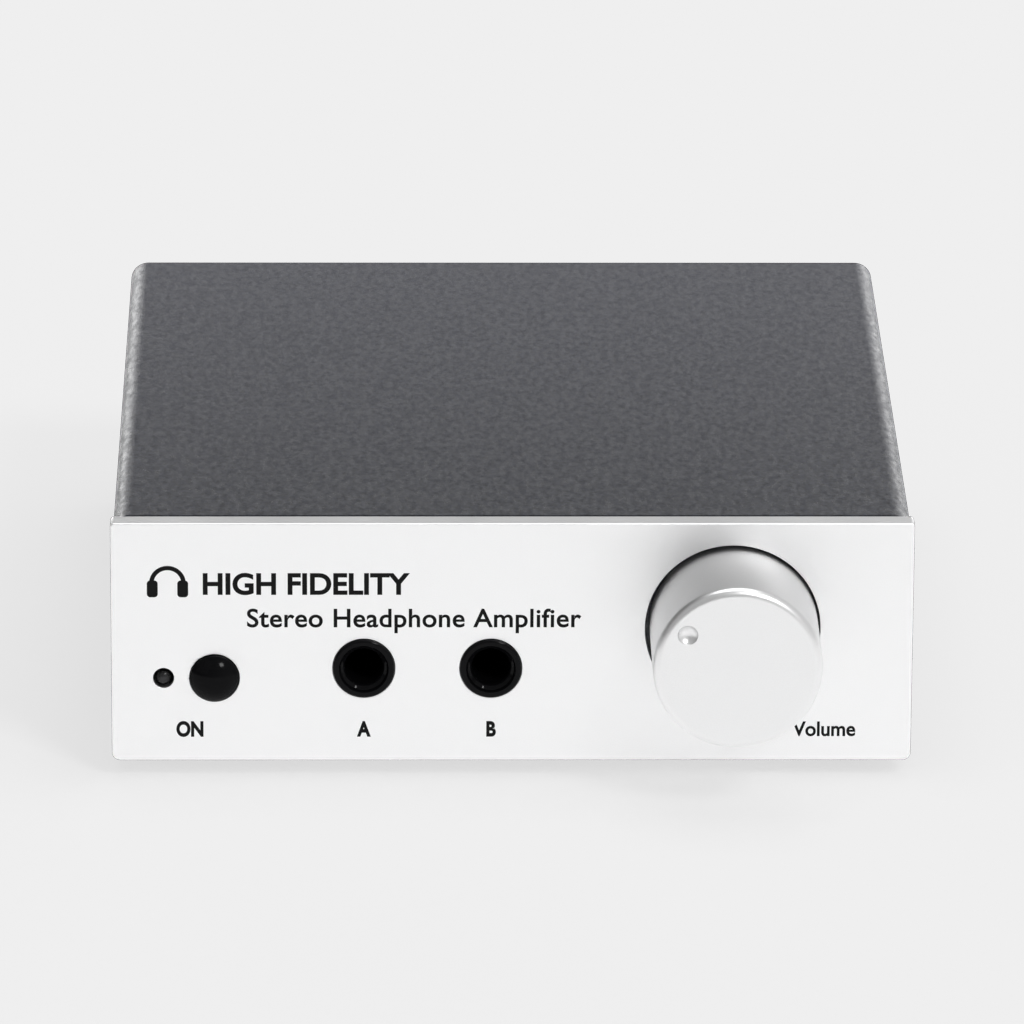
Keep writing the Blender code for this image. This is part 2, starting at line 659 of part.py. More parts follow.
# ---- Power button: the cap and the plunger slide; the housing and the spring are fixed ----------------
def build_button_cap():
    """A shallow dome on a skirt, with a socket behind that takes the plunger."""
    top = BUTTON_SKIRT + BUTTON_RISE
    sphere = (BUTTON_RADIUS**2 + BUTTON_RISE**2) / (2 * BUTTON_RISE)
    reach = math.degrees(math.asin(BUTTON_RADIUS / sphere))
    dome = arc((0, top - sphere), sphere, 90 - reach, 90, 5)[:-1]
    socket, bottom, back = PLUNGER_RADIUS + FIT, -2 * MM, -6.5 * MM
    profile = [(0, bottom), (socket, bottom), (socket, back), (BUTTON_RADIUS, back), *dome, (0, top)]
    piece("power_button", turned(profile, MEDIUM), GLOSS_BLACK, turn=AIM["front"], parent=BUTTON_AXIS)


def build_plunger():
    tip, pilot_end, pilot = -2.4 * MM, COLLAR_BACK + 1.3 * MM, 1.2 * MM
    profile = [
        (0, -pilot_end),
        (pilot, -pilot_end),
        (pilot, -COLLAR_BACK),
        (PLUNGER_COLLAR, -COLLAR_BACK),
        (PLUNGER_COLLAR, -COLLAR_FRONT),
        (PLUNGER_RADIUS, -COLLAR_FRONT),
        (PLUNGER_RADIUS, tip),
        (0, tip),
    ]
    piece("switch_plunger", turned(profile, COARSE), WHITE, turn=AIM["front"], parent=BUTTON_AXIS)


def build_switch():
    x, z = BUTTON_AT
    half = 5 * MM
    low, high = (x - half, SWITCH_FRONT, PARTS_BASE), (x + half, SWITCH_BACK, 2 * z - PARTS_BASE)
    housing = piece("switch_housing", block(low, high, 0.4 * MM), MATTE_BLACK)
    chamber, mouth = PLUNGER_COLLAR + 0.5 * MM, PLUNGER_RADIUS + 0.4 * MM
    front, back = -SWITCH_FRONT - SWITCH_WALL, SWITCH_WALL - SWITCH_BACK
    profile = [
        (0, back),
        (chamber, back),
        (chamber, front),
        (mouth, front),
        (mouth, OVERRUN - SWITCH_FRONT),
        (0, OVERRUN - SWITCH_FRONT),
    ]
    cut(housing, turned(profile, COARSE), (x, 0, z), AIM["front"])
    coil = helix(SPRING_RADIUS, SPRING_WIRE, COLLAR_BACK + FIT, -back - FIT, SPRING_TURNS)
    piece("switch_spring", coil, STEEL, (x, 0, z), AIM["back"])


def build_lamp():
    x, z = LAMP_AT
    base, tip, flange = -6.2 * MM, 0.3 * MM, 1 * MM
    profile = [
        (0, base),
        (LAMP_FLANGE, base),
        (LAMP_FLANGE, base + flange),
        (LAMP_RADIUS, base + flange),
        *arc((0, tip - LAMP_RADIUS), LAMP_RADIUS, 0, 90, 4)[:-1],
        (0, tip),
    ]
    piece("lamp_lens", turned(profile, COARSE), SMOKED, (x, 0, z), AIM["front"])
    half = 2.6 * MM
    spacer = block((x - half, FIT - base, PARTS_BASE), (x + half, 12 * MM, z + 3 * MM), 0.3 * MM)
    piece("lamp_spacer", spacer, MATTE_BLACK)


# ---- Headphone sockets --------------------------------------------------------------------------------
def build_jack(name, centre):
    """A block on the board with a round nose through the panel, and a slot on top for its contact."""
    x, z = centre
    half, front, lead = JACK_WIDTH / 2, WALL_FRONT + 0.5 * MM, 0.4 * MM
    body = block((x - half, front, PARTS_BASE), (x + half, JACK_BACK, z + 8.8 * MM), lead)
    housing = piece(f"{name}_housing", body, MATTE_BLACK)
    nose = [
        (0, -front - 2 * MM),
        (JACK_NOSE_RADIUS, -front - 2 * MM),
        (JACK_NOSE_RADIUS, JACK_NOSE_END - lead),
        (JACK_NOSE_RADIUS - lead, JACK_NOSE_END),
        (0, JACK_NOSE_END),
    ]
    join(housing, turned(nose, MEDIUM), (x, 0, z), AIM["front"])
    bore = [
        (0, -JACK_DEEP),
        (JACK_BORE, -JACK_DEEP),
        (JACK_BORE, JACK_NOSE_END - 1.8 * MM),
        (JACK_MOUTH, JACK_NOSE_END - 0.3 * MM),
        (JACK_MOUTH, JACK_NOSE_END + OVERRUN),
        (0, JACK_NOSE_END + OVERRUN),
    ]
    cut(housing, turned(bore, MEDIUM), (x, 0, z), AIM["front"])
    slot = 1.9 * MM
    cut(housing, block((x - slot, 22 * MM, z + 1.5 * MM), (x + slot, 32 * MM, z + 10 * MM)))


def build_jack_contact(name, centre):
    """A bent leaf that dips towards the bore, where the plug's tip lifts it."""
    spine = [(31.5, 8.2), (24.5, 7.2), (23.0, 5.4), (27.0, 3.9), (30.0, 5.4)]
    outline = strip([(y * MM, rise * MM) for y, rise in spine], LEAF)
    half = 1.5 * MM
    leaf = prism(outline, 2 * half, start=-half)
    piece(f"{name}_tip_spring", leaf, BRASS, (centre[0], 0, centre[1]), SIDE_VIEW)


# ---- Rear sockets -------------------------------------------------------------------------------------
def build_phono_block():
    columns, rows = PHONO_COLUMNS.values(), PHONO_ROWS.values()
    margin, back = 8 * MM, WALL_BACK - 0.1 * MM
    low = (min(columns) - margin, PHONO_BLOCK_FRONT, PARTS_BASE)
    high = (max(columns) + margin, back, max(rows) + margin)
    holder = piece("phono_block", block(low, high, 0.4 * MM), MATTE_BLACK)
    holes = [(x, z, PHONO_RADIUS + FIT) for x in columns for z in rows]
    cut(holder, drills(holes, PHONO_BLOCK_FRONT + 4 * MM, back + OVERRUN), turn=AIM["front"])


def phono_shell():
    """The outer contact: a tube with a flange that sits outside the rear upright."""
    start, lead = PHONO_BLOCK_FRONT + 4.5 * MM, 0.4 * MM
    flange_front, flange_back = CHASSIS_BACK + FIT, CHASSIS_BACK + 1.3 * MM
    profile = [
        (PHONO_INNER, start),
        (PHONO_RADIUS, start),
        (PHONO_RADIUS, flange_front),
        (PHONO_FLANGE, flange_front),
        (PHONO_FLANGE, flange_back),
        (PHONO_RADIUS, flange_back),
        (PHONO_RADIUS, PHONO_END - lead),
        (PHONO_RADIUS - lead, PHONO_END),
        (PHONO_INNER, PHONO_END),
    ]
    return turned(profile, COARSE, closed=True)


def phono_core():
    """The insulator inside the shell, bored for the plug's pin."""
    outer, start, end = PHONO_INNER - 0.1 * MM, PHONO_BLOCK_FRONT + 5 * MM, PHONO_END - 0.8 * MM
    lead, bottom = 0.5 * MM, PHONO_END - 13 * MM
    profile = [
        (0, start),
        (outer, start),
        (outer, end),
        (PHONO_HOLE + lead, end),
        (PHONO_HOLE, end - lead),
        (PHONO_HOLE, bottom),
        (0, bottom),
    ]
    return turned(profile, COARSE)


def build_phono_sockets():
    shell = mesh_of("phono_shell", phono_shell(), NICKEL)
    cores = {
        "left": mesh_of("phono_core_left", phono_core(), WHITE),
        "right": mesh_of("phono_core_right", phono_core(), RED),
    }
    for column, x in PHONO_COLUMNS.items():
        for row, z in PHONO_ROWS.items():
            place(f"phono_shell_{column}_{row}", shell, (x, 0, z), AIM["back"])
            place(f"phono_core_{column}_{row}", cores[row], (x, 0, z), AIM["back"])


def build_power_inlet():
    """A block behind the rear upright whose round nose fills a hole in it, with a centre pin."""
    x, z = INLET_AT
    half, back, nose_end = 4.6 * MM, WALL_BACK - 0.1 * MM, CHASSIS_BACK + 0.5 * MM
    body = block((x - half, INLET_FRONT, PARTS_BASE), (x + half, back, z + 5.6 * MM), 0.4 * MM)
    socket = piece("power_inlet", body, GLOSS_BLACK)
    nose = rod(INLET_BORE + 1.25 * MM, back - 3 * MM, nose_end, COARSE)
    join(socket, nose, (x, 0, z), AIM["back"])
    cut(socket, rod(INLET_BORE, INLET_BOTTOM, nose_end + OVERRUN, COARSE), (x, 0, z), AIM["back"])
    tip, lead, foot = nose_end - 1 * MM, 0.4 * MM, INLET_BOTTOM + 0.2 * MM
    profile = [(0, foot), (INLET_PIN, foot), (INLET_PIN, tip - lead), (INLET_PIN - lead, tip), (0, tip)]
    piece("power_inlet_pin", turned(profile, TINY), NICKEL, (x, 0, z), AIM["back"])


# ---- Gain switch, under the board and reached through the floor ---------------------------------------
def build_gain_switch():
    """Two sliders side by side, each in its own slot, at the front end of it at rest."""
    y = GAIN_SWITCH_Y
    low, high = (-4.4 * MM, y - 3 * MM, GAIN_FACE), (4.4 * MM, y + 3 * MM, BOARD_BOTTOM - FIT)
    housing = piece("gain_switch", block(low, high, 0.3 * MM), RED)
    half_slot = SLIDER_HALF + GAIN_TRAVEL / 2 + FIT
    peg_bottom, peg_top = GAIN_FACE - 0.9 * MM, GAIN_FACE + 2.1 * MM
    for side, x in GAIN_SLIDERS.items():
        slot_low = (x - SLOT_HALF, y - half_slot, GAIN_FACE - OVERRUN)
        cut(housing, block(slot_low, (x + SLOT_HALF, y + half_slot, peg_top + FIT)))
        low, high = (-SLIDER_HALF, -SLIDER_HALF, peg_bottom), (SLIDER_HALF, SLIDER_HALF, peg_top)
        piece(f"gain_slider_{side}", block(low, high, 0.15 * MM), WHITE, (x, y - GAIN_TRAVEL / 2, 0))


# ---- Board and what stands on it ----------------------------------------------------------------------
def build_board():
    holes = [circle(at, THREAD_HOLE + 0.1 * MM, TINY) for at in BOARD_SCREW_AT]
    outline = rounded_rectangle(BOARD_LOW, BOARD_HIGH, 1.5 * MM, 1.5 * MM, 3)
    piece("main_board", prism(outline, BOARD_THICK, holes), BOARD_GREEN, (0, 0, BOARD_BOTTOM))


def build_capacitors():
    """Two cans with the groove that a rubber bung is crimped into."""
    radius, height = 8 * MM, 25 * MM
    foot, groove, shoulder = 0.8 * MM, 2.2 * MM, 3.6 * MM
    profile = [
        (0, 0),
        (radius - foot, 0),
        (radius, foot),
        (radius - 0.5 * MM, groove),
        (radius, shoulder),
        (radius, height - foot),
        (radius - foot, height),
        (0, height),
    ]
    can = mesh_of("reservoir_capacitor", turned(profile, COARSE), SLEEVE)
    for name, x in (("positive", 8 * MM), ("negative", 27 * MM)):
        place(f"reservoir_capacitor_{name}", can, (x, 118 * MM, PARTS_BASE))


def build_heat_sink():
    """A comb of upright fins on a back plate, with an output transistor against it at each end."""
    x, y = 5 * MM, 74 * MM
    plate, fin, pitch, reach, fins = 3 * MM, 1.6 * MM, 5.5 * MM, 13 * MM, 9
    first = -(fins - 1) * pitch / 2
    comb = [(first - fin / 2, 0), (-first + fin / 2, 0)]
    for i in reversed(range(fins)):
        middle = first + i * pitch
        comb += [(middle + fin / 2, reach), (middle - fin / 2, reach)]
        if i:
            comb += [(middle - fin / 2, plate), (middle - pitch + fin / 2, plate)]
    piece("heat_sink", prism(comb, 27 * MM), SILVER, (x, y, PARTS_BASE))
    half, height, corner, thick = 5 * MM, 16.5 * MM, 1 * MM, 4 * MM
    tab = [(-half, 0), (half, 0), (half, height - corner), (half - corner, height)]
    tab += [(corner - half, height), (-half, height - corner)]
    package = prism(tab, thick, [circle((0, 13 * MM), THREAD_HOLE, TINY)])
    mesh = mesh_of("output_transistor", package, MATTE_BLACK)
    for side, offset in (("left", -13 * MM), ("right", 13 * MM)):
        place(f"output_transistor_{side}", mesh, (x + offset, y - FIT, PARTS_BASE + 5 * MM), AIM["front"])


def build_relay_and_chip():
    relay = block((-45 * MM, 52 * MM, 0), (-30 * MM, 62.5 * MM, 11 * MM), 0.5 * MM)
    piece("muting_relay", relay, WHITE, (0, 0, PARTS_BASE))
    chip = block((0, 46 * MM, 0), (9.4 * MM, 52.4 * MM, 3.6 * MM), 0.4 * MM)
    piece("amplifier_chip", chip, MATTE_BLACK, (0, 0, PARTS_BASE))


build_front_panel()
build_cover()
build_chassis()
build_feet()
build_screws()
build_knob()
build_knob_screw()
build_shaft_and_wiper()
build_bushing()
build_pot_body()
build_button_cap()
build_plunger()
build_switch()
build_lamp()
for socket_name, socket_centre in (("jack_a", JACK_A_AT), ("jack_b", JACK_B_AT)):
    build_jack(socket_name, socket_centre)
    build_jack_contact(socket_name, socket_centre)
build_phono_block()
build_phono_sockets()
build_power_inlet()
build_gain_switch()
build_board()
build_capacitors()
build_heat_sink()
build_relay_and_chip()
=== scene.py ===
"""The looks of a desktop headphone amplifier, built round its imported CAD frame.

Metres, +Z up. The front panel faces -Y, X runs to the right seen from the front, and the table is z = 0.
Fine pieces stand for the CAD nodes that show, and every piece gets a procedural finish.
"""

import json
import math

import bmesh
import bpy
from mathutils import Matrix, Vector


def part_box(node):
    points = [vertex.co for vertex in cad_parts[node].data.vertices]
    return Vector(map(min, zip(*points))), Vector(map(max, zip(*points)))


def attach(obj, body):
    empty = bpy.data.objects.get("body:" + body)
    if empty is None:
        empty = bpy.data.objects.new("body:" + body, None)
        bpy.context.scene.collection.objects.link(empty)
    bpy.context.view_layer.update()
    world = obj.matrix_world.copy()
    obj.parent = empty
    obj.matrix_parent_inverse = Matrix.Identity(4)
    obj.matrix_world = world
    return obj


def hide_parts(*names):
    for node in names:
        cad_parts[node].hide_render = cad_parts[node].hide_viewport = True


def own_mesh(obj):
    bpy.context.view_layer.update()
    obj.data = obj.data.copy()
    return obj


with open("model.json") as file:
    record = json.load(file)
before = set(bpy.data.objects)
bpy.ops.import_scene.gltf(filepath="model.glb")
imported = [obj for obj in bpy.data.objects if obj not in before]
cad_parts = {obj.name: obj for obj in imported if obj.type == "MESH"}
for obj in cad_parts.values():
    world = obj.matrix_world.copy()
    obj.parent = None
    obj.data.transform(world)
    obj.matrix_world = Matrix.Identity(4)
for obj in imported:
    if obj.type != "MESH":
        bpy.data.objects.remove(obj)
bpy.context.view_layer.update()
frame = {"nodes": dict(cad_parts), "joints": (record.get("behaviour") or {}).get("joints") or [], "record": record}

MM = 0.001
RECORD = frame["record"]
SLOT_OF = {part["node"]: part["material_slot"] for part in RECORD["subparts"]}
BODY_OF = {node: body for body, nodes in RECORD["behaviour"]["bodies"].items() for node in nodes}
JOINT = {joint["name"]: joint for joint in frame["joints"]}
OPENING = {opening["name"]: opening["box_m"] for opening in RECORD["physics"]["openings"]}

# ---- Places, from the frame ---------------------------------------------------------------------------
PANEL_LOW, PANEL_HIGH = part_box("front_panel")
COVER_LOW, COVER_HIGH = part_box("top_cover")
CHASSIS_LOW, CHASSIS_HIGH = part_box("base_chassis")
FACE = PANEL_LOW.y  # the front panel's outer face
PANEL_THICK = PANEL_HIGH.y - PANEL_LOW.y


def middle_of(node):
    low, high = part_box(node)
    return (low + high) / 2


def size_of(node):
    low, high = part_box(node)
    return high - low


def opening_axis(name):
    """(x, z) of a stated opening that runs front to back."""
    low, high = OPENING[name]
    return ((low[0] + high[0]) / 2, (low[2] + high[2]) / 2)


def flat(point):
    """A point's (x, z), for drawings on the front or the rear."""
    return (point[0], point[2])


VOLUME_AT = flat(JOINT["volume_turn"]["pos_m"])
BUTTON_AT = flat(middle_of("power_button"))
LAMP_AT = flat(middle_of("lamp_lens"))
JACK_AT = {name: opening_axis(f"{name}_bore") for name in ("jack_a", "jack_b")}
KNOB_RADIUS = size_of("volume_knob").x / 2
KNOB_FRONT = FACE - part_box("volume_knob")[0].y  # how far the knob stands out of the panel
KNOB_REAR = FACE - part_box("volume_knob")[1].y  # negative: the rear end is sunk into the panel
BUTTON_RADIUS = size_of("power_button").x / 2
BUTTON_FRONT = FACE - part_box("power_button")[0].y
BUTTON_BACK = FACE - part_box("power_button")[1].y
LAMP_FLANGE = size_of("lamp_lens").x / 2

# ---- Sizes that a node's box doesn't tell -------------------------------------------------------------
SHEET = 1.2 * MM
COVER_BEND = 3.2 * MM
CHASSIS_BEND = 2.0 * MM
PANEL_FOOT_CORNER = 1.4 * MM
PANEL_HEAD_CORNER = 0.6 * MM
PANEL_EDGE = 0.3 * MM
LIP_INSET = 4 * MM  # from an upright's inner face to the end of a side lip
LIP_TOP = 11 * MM  # above the chassis's underside
STANDOFF_RADIUS = 3 * MM
CORNER_CUT = 3 * MM
SCREW_HOLE = 1.6 * MM
SCREW_SHANK = 1.35 * MM
CAP_RISE = 1.8 * MM  # the head of a board or panel screw
LOW_RISE = 1.2 * MM  # the head of a cover screw
JACK_NOSE = 5.4 * MM
JACK_NOSE_END = 0.6 * MM  # in front of the panel
JACK_BORE = 3.3 * MM
JACK_MOUTH = 4.2 * MM
JACK_SHOULDER = 6 * MM  # the housing's front, behind the panel's face
KNOB_EDGE = 1.5 * MM
DIMPLE_RADIUS = 1.8 * MM
DIMPLE_DEPTH = 0.9 * MM
DIMPLE_FROM_AXIS = 10.8 * MM
DIMPLE_ANGLE = 54  # degrees anticlockwise from straight up, seen from the front
OVERRUN = 1 * MM  # how far a cutter passes the face it opens

# How the panel's holes fit what stands in them, as a gap between the radii
LAMP_LAP = 0.1 * MM  # the panel covers this much of the lamp's flange
BUTTON_GAP = 0.08 * MM
NOSE_GAP = 0.04 * MM
KNOB_GAP = 0.6 * MM
KNOB_HOLE_SHIFT = 0.2 * MM  # the knob stands this far right of its hole's middle

CORNERS = ("left_front", "left_back", "right_front", "right_back")
PANEL_CORNERS = ("left_lower", "left_upper", "right_lower", "right_upper")

SMOOTH, ROUND, SMALL = 160, 96, 48  # facets round a circle, by its size

AIM = {
    "up": (0, 0, 0),
    "down": (math.pi, 0, 0),
    "front": (math.pi / 2, 0, 0),
    "back": (-math.pi / 2, 0, 0),
    "right": (0, math.pi / 2, 0),
    "left": (0, -math.pi / 2, 0),
}
SIDE_VIEW = (math.pi / 2, 0, math.pi / 2)  # for a flat drawing in Y and Z, carried along X
REAR_PRINT = (math.pi / 2, 0, math.pi)  # upright print that faces the back


# ---- Shader nodes -------------------------------------------------------------------------------------
def node(tree, kind, inputs=None, **settings):
    """A shader node; an input is a value or the socket that feeds it."""
    made = tree.nodes.new(kind)
    for key, value in settings.items():
        setattr(made, key, value)
    for key, value in (inputs or {}).items():
        if isinstance(value, bpy.types.NodeSocket):
            tree.links.new(value, made.inputs[key])
        else:
            made.inputs[key].default_value = value
    return made


def place_in_piece(tree, stretch=(1, 1, 1)):
    """Coordinates that stay with the piece, in millimetres, stretched along its axes."""
    spot = node(tree, "ShaderNodeTexCoord").outputs["Object"]
    scale = [1 / MM * s for s in stretch]
    return node(tree, "ShaderNodeMapping", {"Vector": spot, "Scale": scale}).outputs["Vector"]


def speckle(tree, spot, size, detail=2.0, roughness=0.5):
    """Noise whose features measure about size, in the units of spot."""
    inputs = {"Vector": spot, "Scale": 1 / size, "Detail": detail, "Roughness": roughness}
    return node(tree, "ShaderNodeTexNoise", inputs).outputs["Fac"]


def ramp(tree, value, low, high, out_low=0.0, out_high=1.0):
    """Maps low..high to out_low..out_high, held at both ends."""
    inputs = {"Value": value, "From Min": low, "From Max": high, "To Min": out_low, "To Max": out_high}
    return node(tree, "ShaderNodeMapRange", inputs).outputs["Result"]


def calc(tree, operation, a, b=0.0):
    return node(tree, "ShaderNodeMath", {0: a, 1: b}, operation=operation).outputs[0]


def blended(tree, share, a, b):
    """The colour a where share is 0 and b where it is 1."""
    mix = node(tree, "ShaderNodeMix", data_type="RGBA")
    for key, value in ((0, share), (6, a), (7, b)):
        if isinstance(value, bpy.types.NodeSocket):
            tree.links.new(value, mix.inputs[key])
        else:
            mix.inputs[key].default_value = value
    return mix.outputs[2]


def relief(tree, height, depth, normal=None):
    """Bump of the given depth in metres."""
    inputs = {"Height": height, "Distance": depth, "Strength": 1.0}
    if normal is not None:
        inputs["Normal"] = normal
    return node(tree, "ShaderNodeBump", inputs).outputs["Normal"]


def grey(level, tint=(1.0, 1.0, 1.0)):
    return (*(level * t for t in tint), 1.0)


def shader(name, **inputs):
    """A material's tree and its Principled node, with the given inputs set by their names in lower case."""
    made = bpy.data.materials.new(name)
    made.use_nodes = True
    principled = made.node_tree.nodes["Principled BSDF"]
    for key, value in inputs.items():
        principled.inputs[key.replace("_", " ").title().replace("Ior", "IOR")].default_value = value
    return made, made.node_tree, principled


def feed(tree, principled, **sockets):
    for key, socket in sockets.items():
        tree.links.new(socket, principled.inputs[key.replace("_", " ").title()])


# ---- Finishes -----------------------------------------------------------------------------------------
def blasted_anodising(name, level, roughness):
    """Bead-blasted, silver anodised aluminium: a fine even grain with faint handling marks."""
    made, tree, principled = shader(name, metallic=1.0)
    spot = place_in_piece(tree)
    grain = speckle(tree, spot, 0.16, 3.0)
    clouds = speckle(tree, spot, 14.0, 2.0)
    tone = ramp(tree, clouds, 0.3, 0.7)
    light, dark = grey(level, (1.0, 1.0, 1.004)), grey(level * 0.975, (1.0, 1.0, 1.006))
    colour = blended(tree, tone, dark, light)
    peppered = blended(tree, ramp(tree, grain, 0.35, 0.65, 0.0, 0.5), colour, grey(level * 0.93))
    matt = calc(tree, "ADD", ramp(tree, clouds, 0.3, 0.7, roughness - 0.03, roughness + 0.03),
                ramp(tree, grain, 0.3, 0.7, -0.03, 0.03))
    feed(tree, principled, base_color=peppered, roughness=matt, normal=relief(tree, grain, 0.003 * MM))
    return made


# the colour of a painted sheen: a pale reflection painted into a coat towards one end
PAINTED_SHEEN_TONE = (0.776, 0.784, 0.92, 1.0)
PAINTED_SHEEN_SHARE = 0.05  # how much of the painted sheen shows at the far end of a coat's painted gradient


def powder_coat(name, level, tint, ends=None):
    """Fine-textured powder coat: rounded grains, a glossier film of uneven strength, and a few dark specks.

    Between the two ends, places along the piece's local Z in millimetres, a painted sheen lifts the tone from dark
    to pale.
    """
    made, tree, principled = shader(name, specular_ior_level=0.1, coat_roughness=0.25)
    spot = place_in_piece(tree)
    grains = speckle(tree, spot, 0.85, 3.0, 0.6)
    fine = speckle(tree, spot, 0.3, 2.0)
    clouds = speckle(tree, spot, 35.0, 2.0)
    film = speckle(tree, place_in_piece(tree, (1.0, 1.0, 0.5)), 1.1, 3.0, 0.6)
    rare = ramp(tree, speckle(tree, spot, 1.6, 1.0), 0.74, 0.8)
    tone = ramp(tree, grains, 0.32, 0.68)
    colour = blended(tree, tone, grey(level * 0.3, tint), grey(level * 1.7, tint))
    shaded = blended(tree, ramp(tree, clouds, 0.3, 0.7, 0.0, 0.35), colour, grey(level * 0.85, tint))
    specked = blended(tree, rare, shaded, grey(level * 0.3, tint))
    # painted sheen: the colour grows paler along local Z, a reflection painted in rather than lit
    if ends:
        along = node(tree, "ShaderNodeSeparateXYZ", {"Vector": spot}).outputs["Z"]
        share = ramp(tree, along, ends[0], ends[1], 0.0, PAINTED_SHEEN_SHARE)
        specked = blended(tree, share, specked, PAINTED_SHEEN_TONE)
    matt = calc(tree, "ADD", ramp(tree, grains, 0.3, 0.7, 0.56, 0.46),
                ramp(tree, fine, 0.3, 0.7, -0.04, 0.04))
    lumps = relief(tree, grains, 0.03 * MM)
    feed(tree, principled, base_color=specked, roughness=matt, normal=relief(tree, fine, 0.004 * MM, lumps),
         coat_normal=relief(tree, grains, 0.018 * MM), coat_weight=ramp(tree, film, 0.36, 0.64, 0.45, 0.95))
    return made


def moulding(name, colour, roughness, depth=0.006, grain=0.5, shine=0.5, dusty=0.04):
    """Moulded plastic: a soft orange-peel skin, faint flow marks, and dust that dulls it in places.

    The skin's depth and the size of its grain are in millimetres.
    """
    made, tree, principled = shader(name, specular_ior_level=shine)
    spot = place_in_piece(tree)
    peel = speckle(tree, spot, grain, 3.0)
    flow = speckle(tree, place_in_piece(tree, (0.25, 0.25, 1.0)), 3.0, 2.0)
    dust = ramp(tree, speckle(tree, spot, 0.35, 5.0, 0.7), 0.56, 0.72)
    base = blended(tree, ramp(tree, flow, 0.3, 0.7), grey(1.0, [c * 0.88 for c in colour]), grey(1.0, colour))
    dusted = blended(tree, calc(tree, "MULTIPLY", dust, dusty), base, grey(0.35))
    matt = calc(tree, "ADD", ramp(tree, flow, 0.3, 0.7, roughness * 0.88, roughness * 1.12),
                calc(tree, "MULTIPLY", dust, 0.12))
    feed(tree, principled, base_color=dusted, roughness=matt, normal=relief(tree, peel, depth * MM))
    return made


def plated(name, colour, roughness):
    """Plated turned metal: rings from the tool under the plating, and slight tarnish."""
    made, tree, principled = shader(name, metallic=1.0)
    spot = place_in_piece(tree)
    rings = speckle(tree, place_in_piece(tree, (0.08, 0.08, 1.0)), 0.16, 3.0)
    tarnish = speckle(tree, spot, 2.5, 4.0, 0.6)
    darker = grey(1.0, [c * 0.78 for c in colour])
    base = blended(tree, ramp(tree, tarnish, 0.35, 0.75), grey(1.0, colour), darker)
    matt = calc(tree, "ADD", ramp(tree, tarnish, 0.3, 0.7, roughness * 0.8, roughness * 1.3),
                ramp(tree, rings, 0.3, 0.7, -0.03, 0.03))
    feed(tree, principled, base_color=base, roughness=matt, normal=relief(tree, rings, 0.002 * MM))
    return made


def rubber(name):
    """Black rubber with a matt, slightly pitted skin and a grey bloom."""
    made, tree, principled = shader(name, specular_ior_level=0.35)
    spot = place_in_piece(tree)
    pits = speckle(tree, spot, 0.3, 4.0, 0.6)
    bloom = speckle(tree, spot, 3.0, 3.0)
    base = blended(tree, ramp(tree, bloom, 0.4, 0.75), grey(0.018), grey(0.045, (1.0, 0.98, 0.95)))
    matt = ramp(tree, pits, 0.3, 0.7, 0.7, 0.9)
    feed(tree, principled, base_color=base, roughness=matt, normal=relief(tree, pits, 0.02 * MM))
    return made


def circuit_board(name):
    """Green solder mask over copper tracks, on woven glass fibre."""
    made, tree, principled = shader(name, specular_ior_level=0.5)
    spot = place_in_piece(tree)
    tracks = node(tree, "ShaderNodeTexBrick", {"Vector": spot, "Scale": 0.22, "Mortar Size": 0.05,
                                               "Color1": grey(0.0), "Color2": grey(0.0), "Mortar": grey(1.0)})
    copper = tracks.outputs["Color"]
    yarn = {"Vector": spot, "Scale": 0.55}
    waves = [node(tree, "ShaderNodeTexWave", yarn, bands_direction=way).outputs["Fac"] for way in "XY"]
    weave = calc(tree, "MAXIMUM", *waves)
    mask = blended(tree, ramp(tree, weave, 0.0, 1.0), (0.012, 0.085, 0.04, 1), (0.018, 0.12, 0.055, 1))
    base = blended(tree, copper, mask, (0.035, 0.22, 0.09, 1))
    matt = ramp(tree, speckle(tree, spot, 1.2, 3.0), 0.3, 0.7, 0.25, 0.4)
    woven = relief(tree, weave, 0.01 * MM)
    raised = node(tree, "ShaderNodeRGBToBW", {"Color": copper}).outputs["Val"]
    feed(tree, principled, base_color=base, roughness=matt, normal=relief(tree, raised, 0.03 * MM, woven))
    return made


def smoked_lens(name):
    """Dark epoxy that is a little clearer in its middle, where the unlit chip's cup shows through."""
    made, tree, principled = shader(name, specular_ior_level=0.2)
    spot = place_in_piece(tree)
    parts = node(tree, "ShaderNodeSeparateXYZ", {"Vector": spot})
    across = calc(tree, "POWER", parts.outputs["X"], 2.0)
    along = calc(tree, "POWER", parts.outputs["Y"], 2.0)
    radius = calc(tree, "SQRT", calc(tree, "ADD", across, along))
    cup = ramp(tree, calc(tree, "ADD", radius, speckle(tree, spot, 0.4, 2.0)), 0.7, 1.6, 1.0, 0.0)
    base = blended(tree, cup, grey(0.004), grey(0.03, (1.0, 1.0, 1.05)))
    matt = ramp(tree, speckle(tree, spot, 0.3, 2.0), 0.3, 0.7, 0.16, 0.3)
    feed(tree, principled, base_color=base, roughness=matt)
    return made


def printing(name, level):
    """Screen-printed ink: slightly uneven and matt."""
    made, tree, principled = shader(name, specular_ior_level=0.08)
    spot = place_in_piece(tree)
    speck = speckle(tree, spot, 0.12, 3.0)
    base = blended(tree, ramp(tree, speck, 0.35, 0.65), grey(level * 0.85), grey(level * 1.15))
    feed(tree, principled, base_color=base, roughness=ramp(tree, speck, 0.3, 0.7, 0.42, 0.6))
    return made


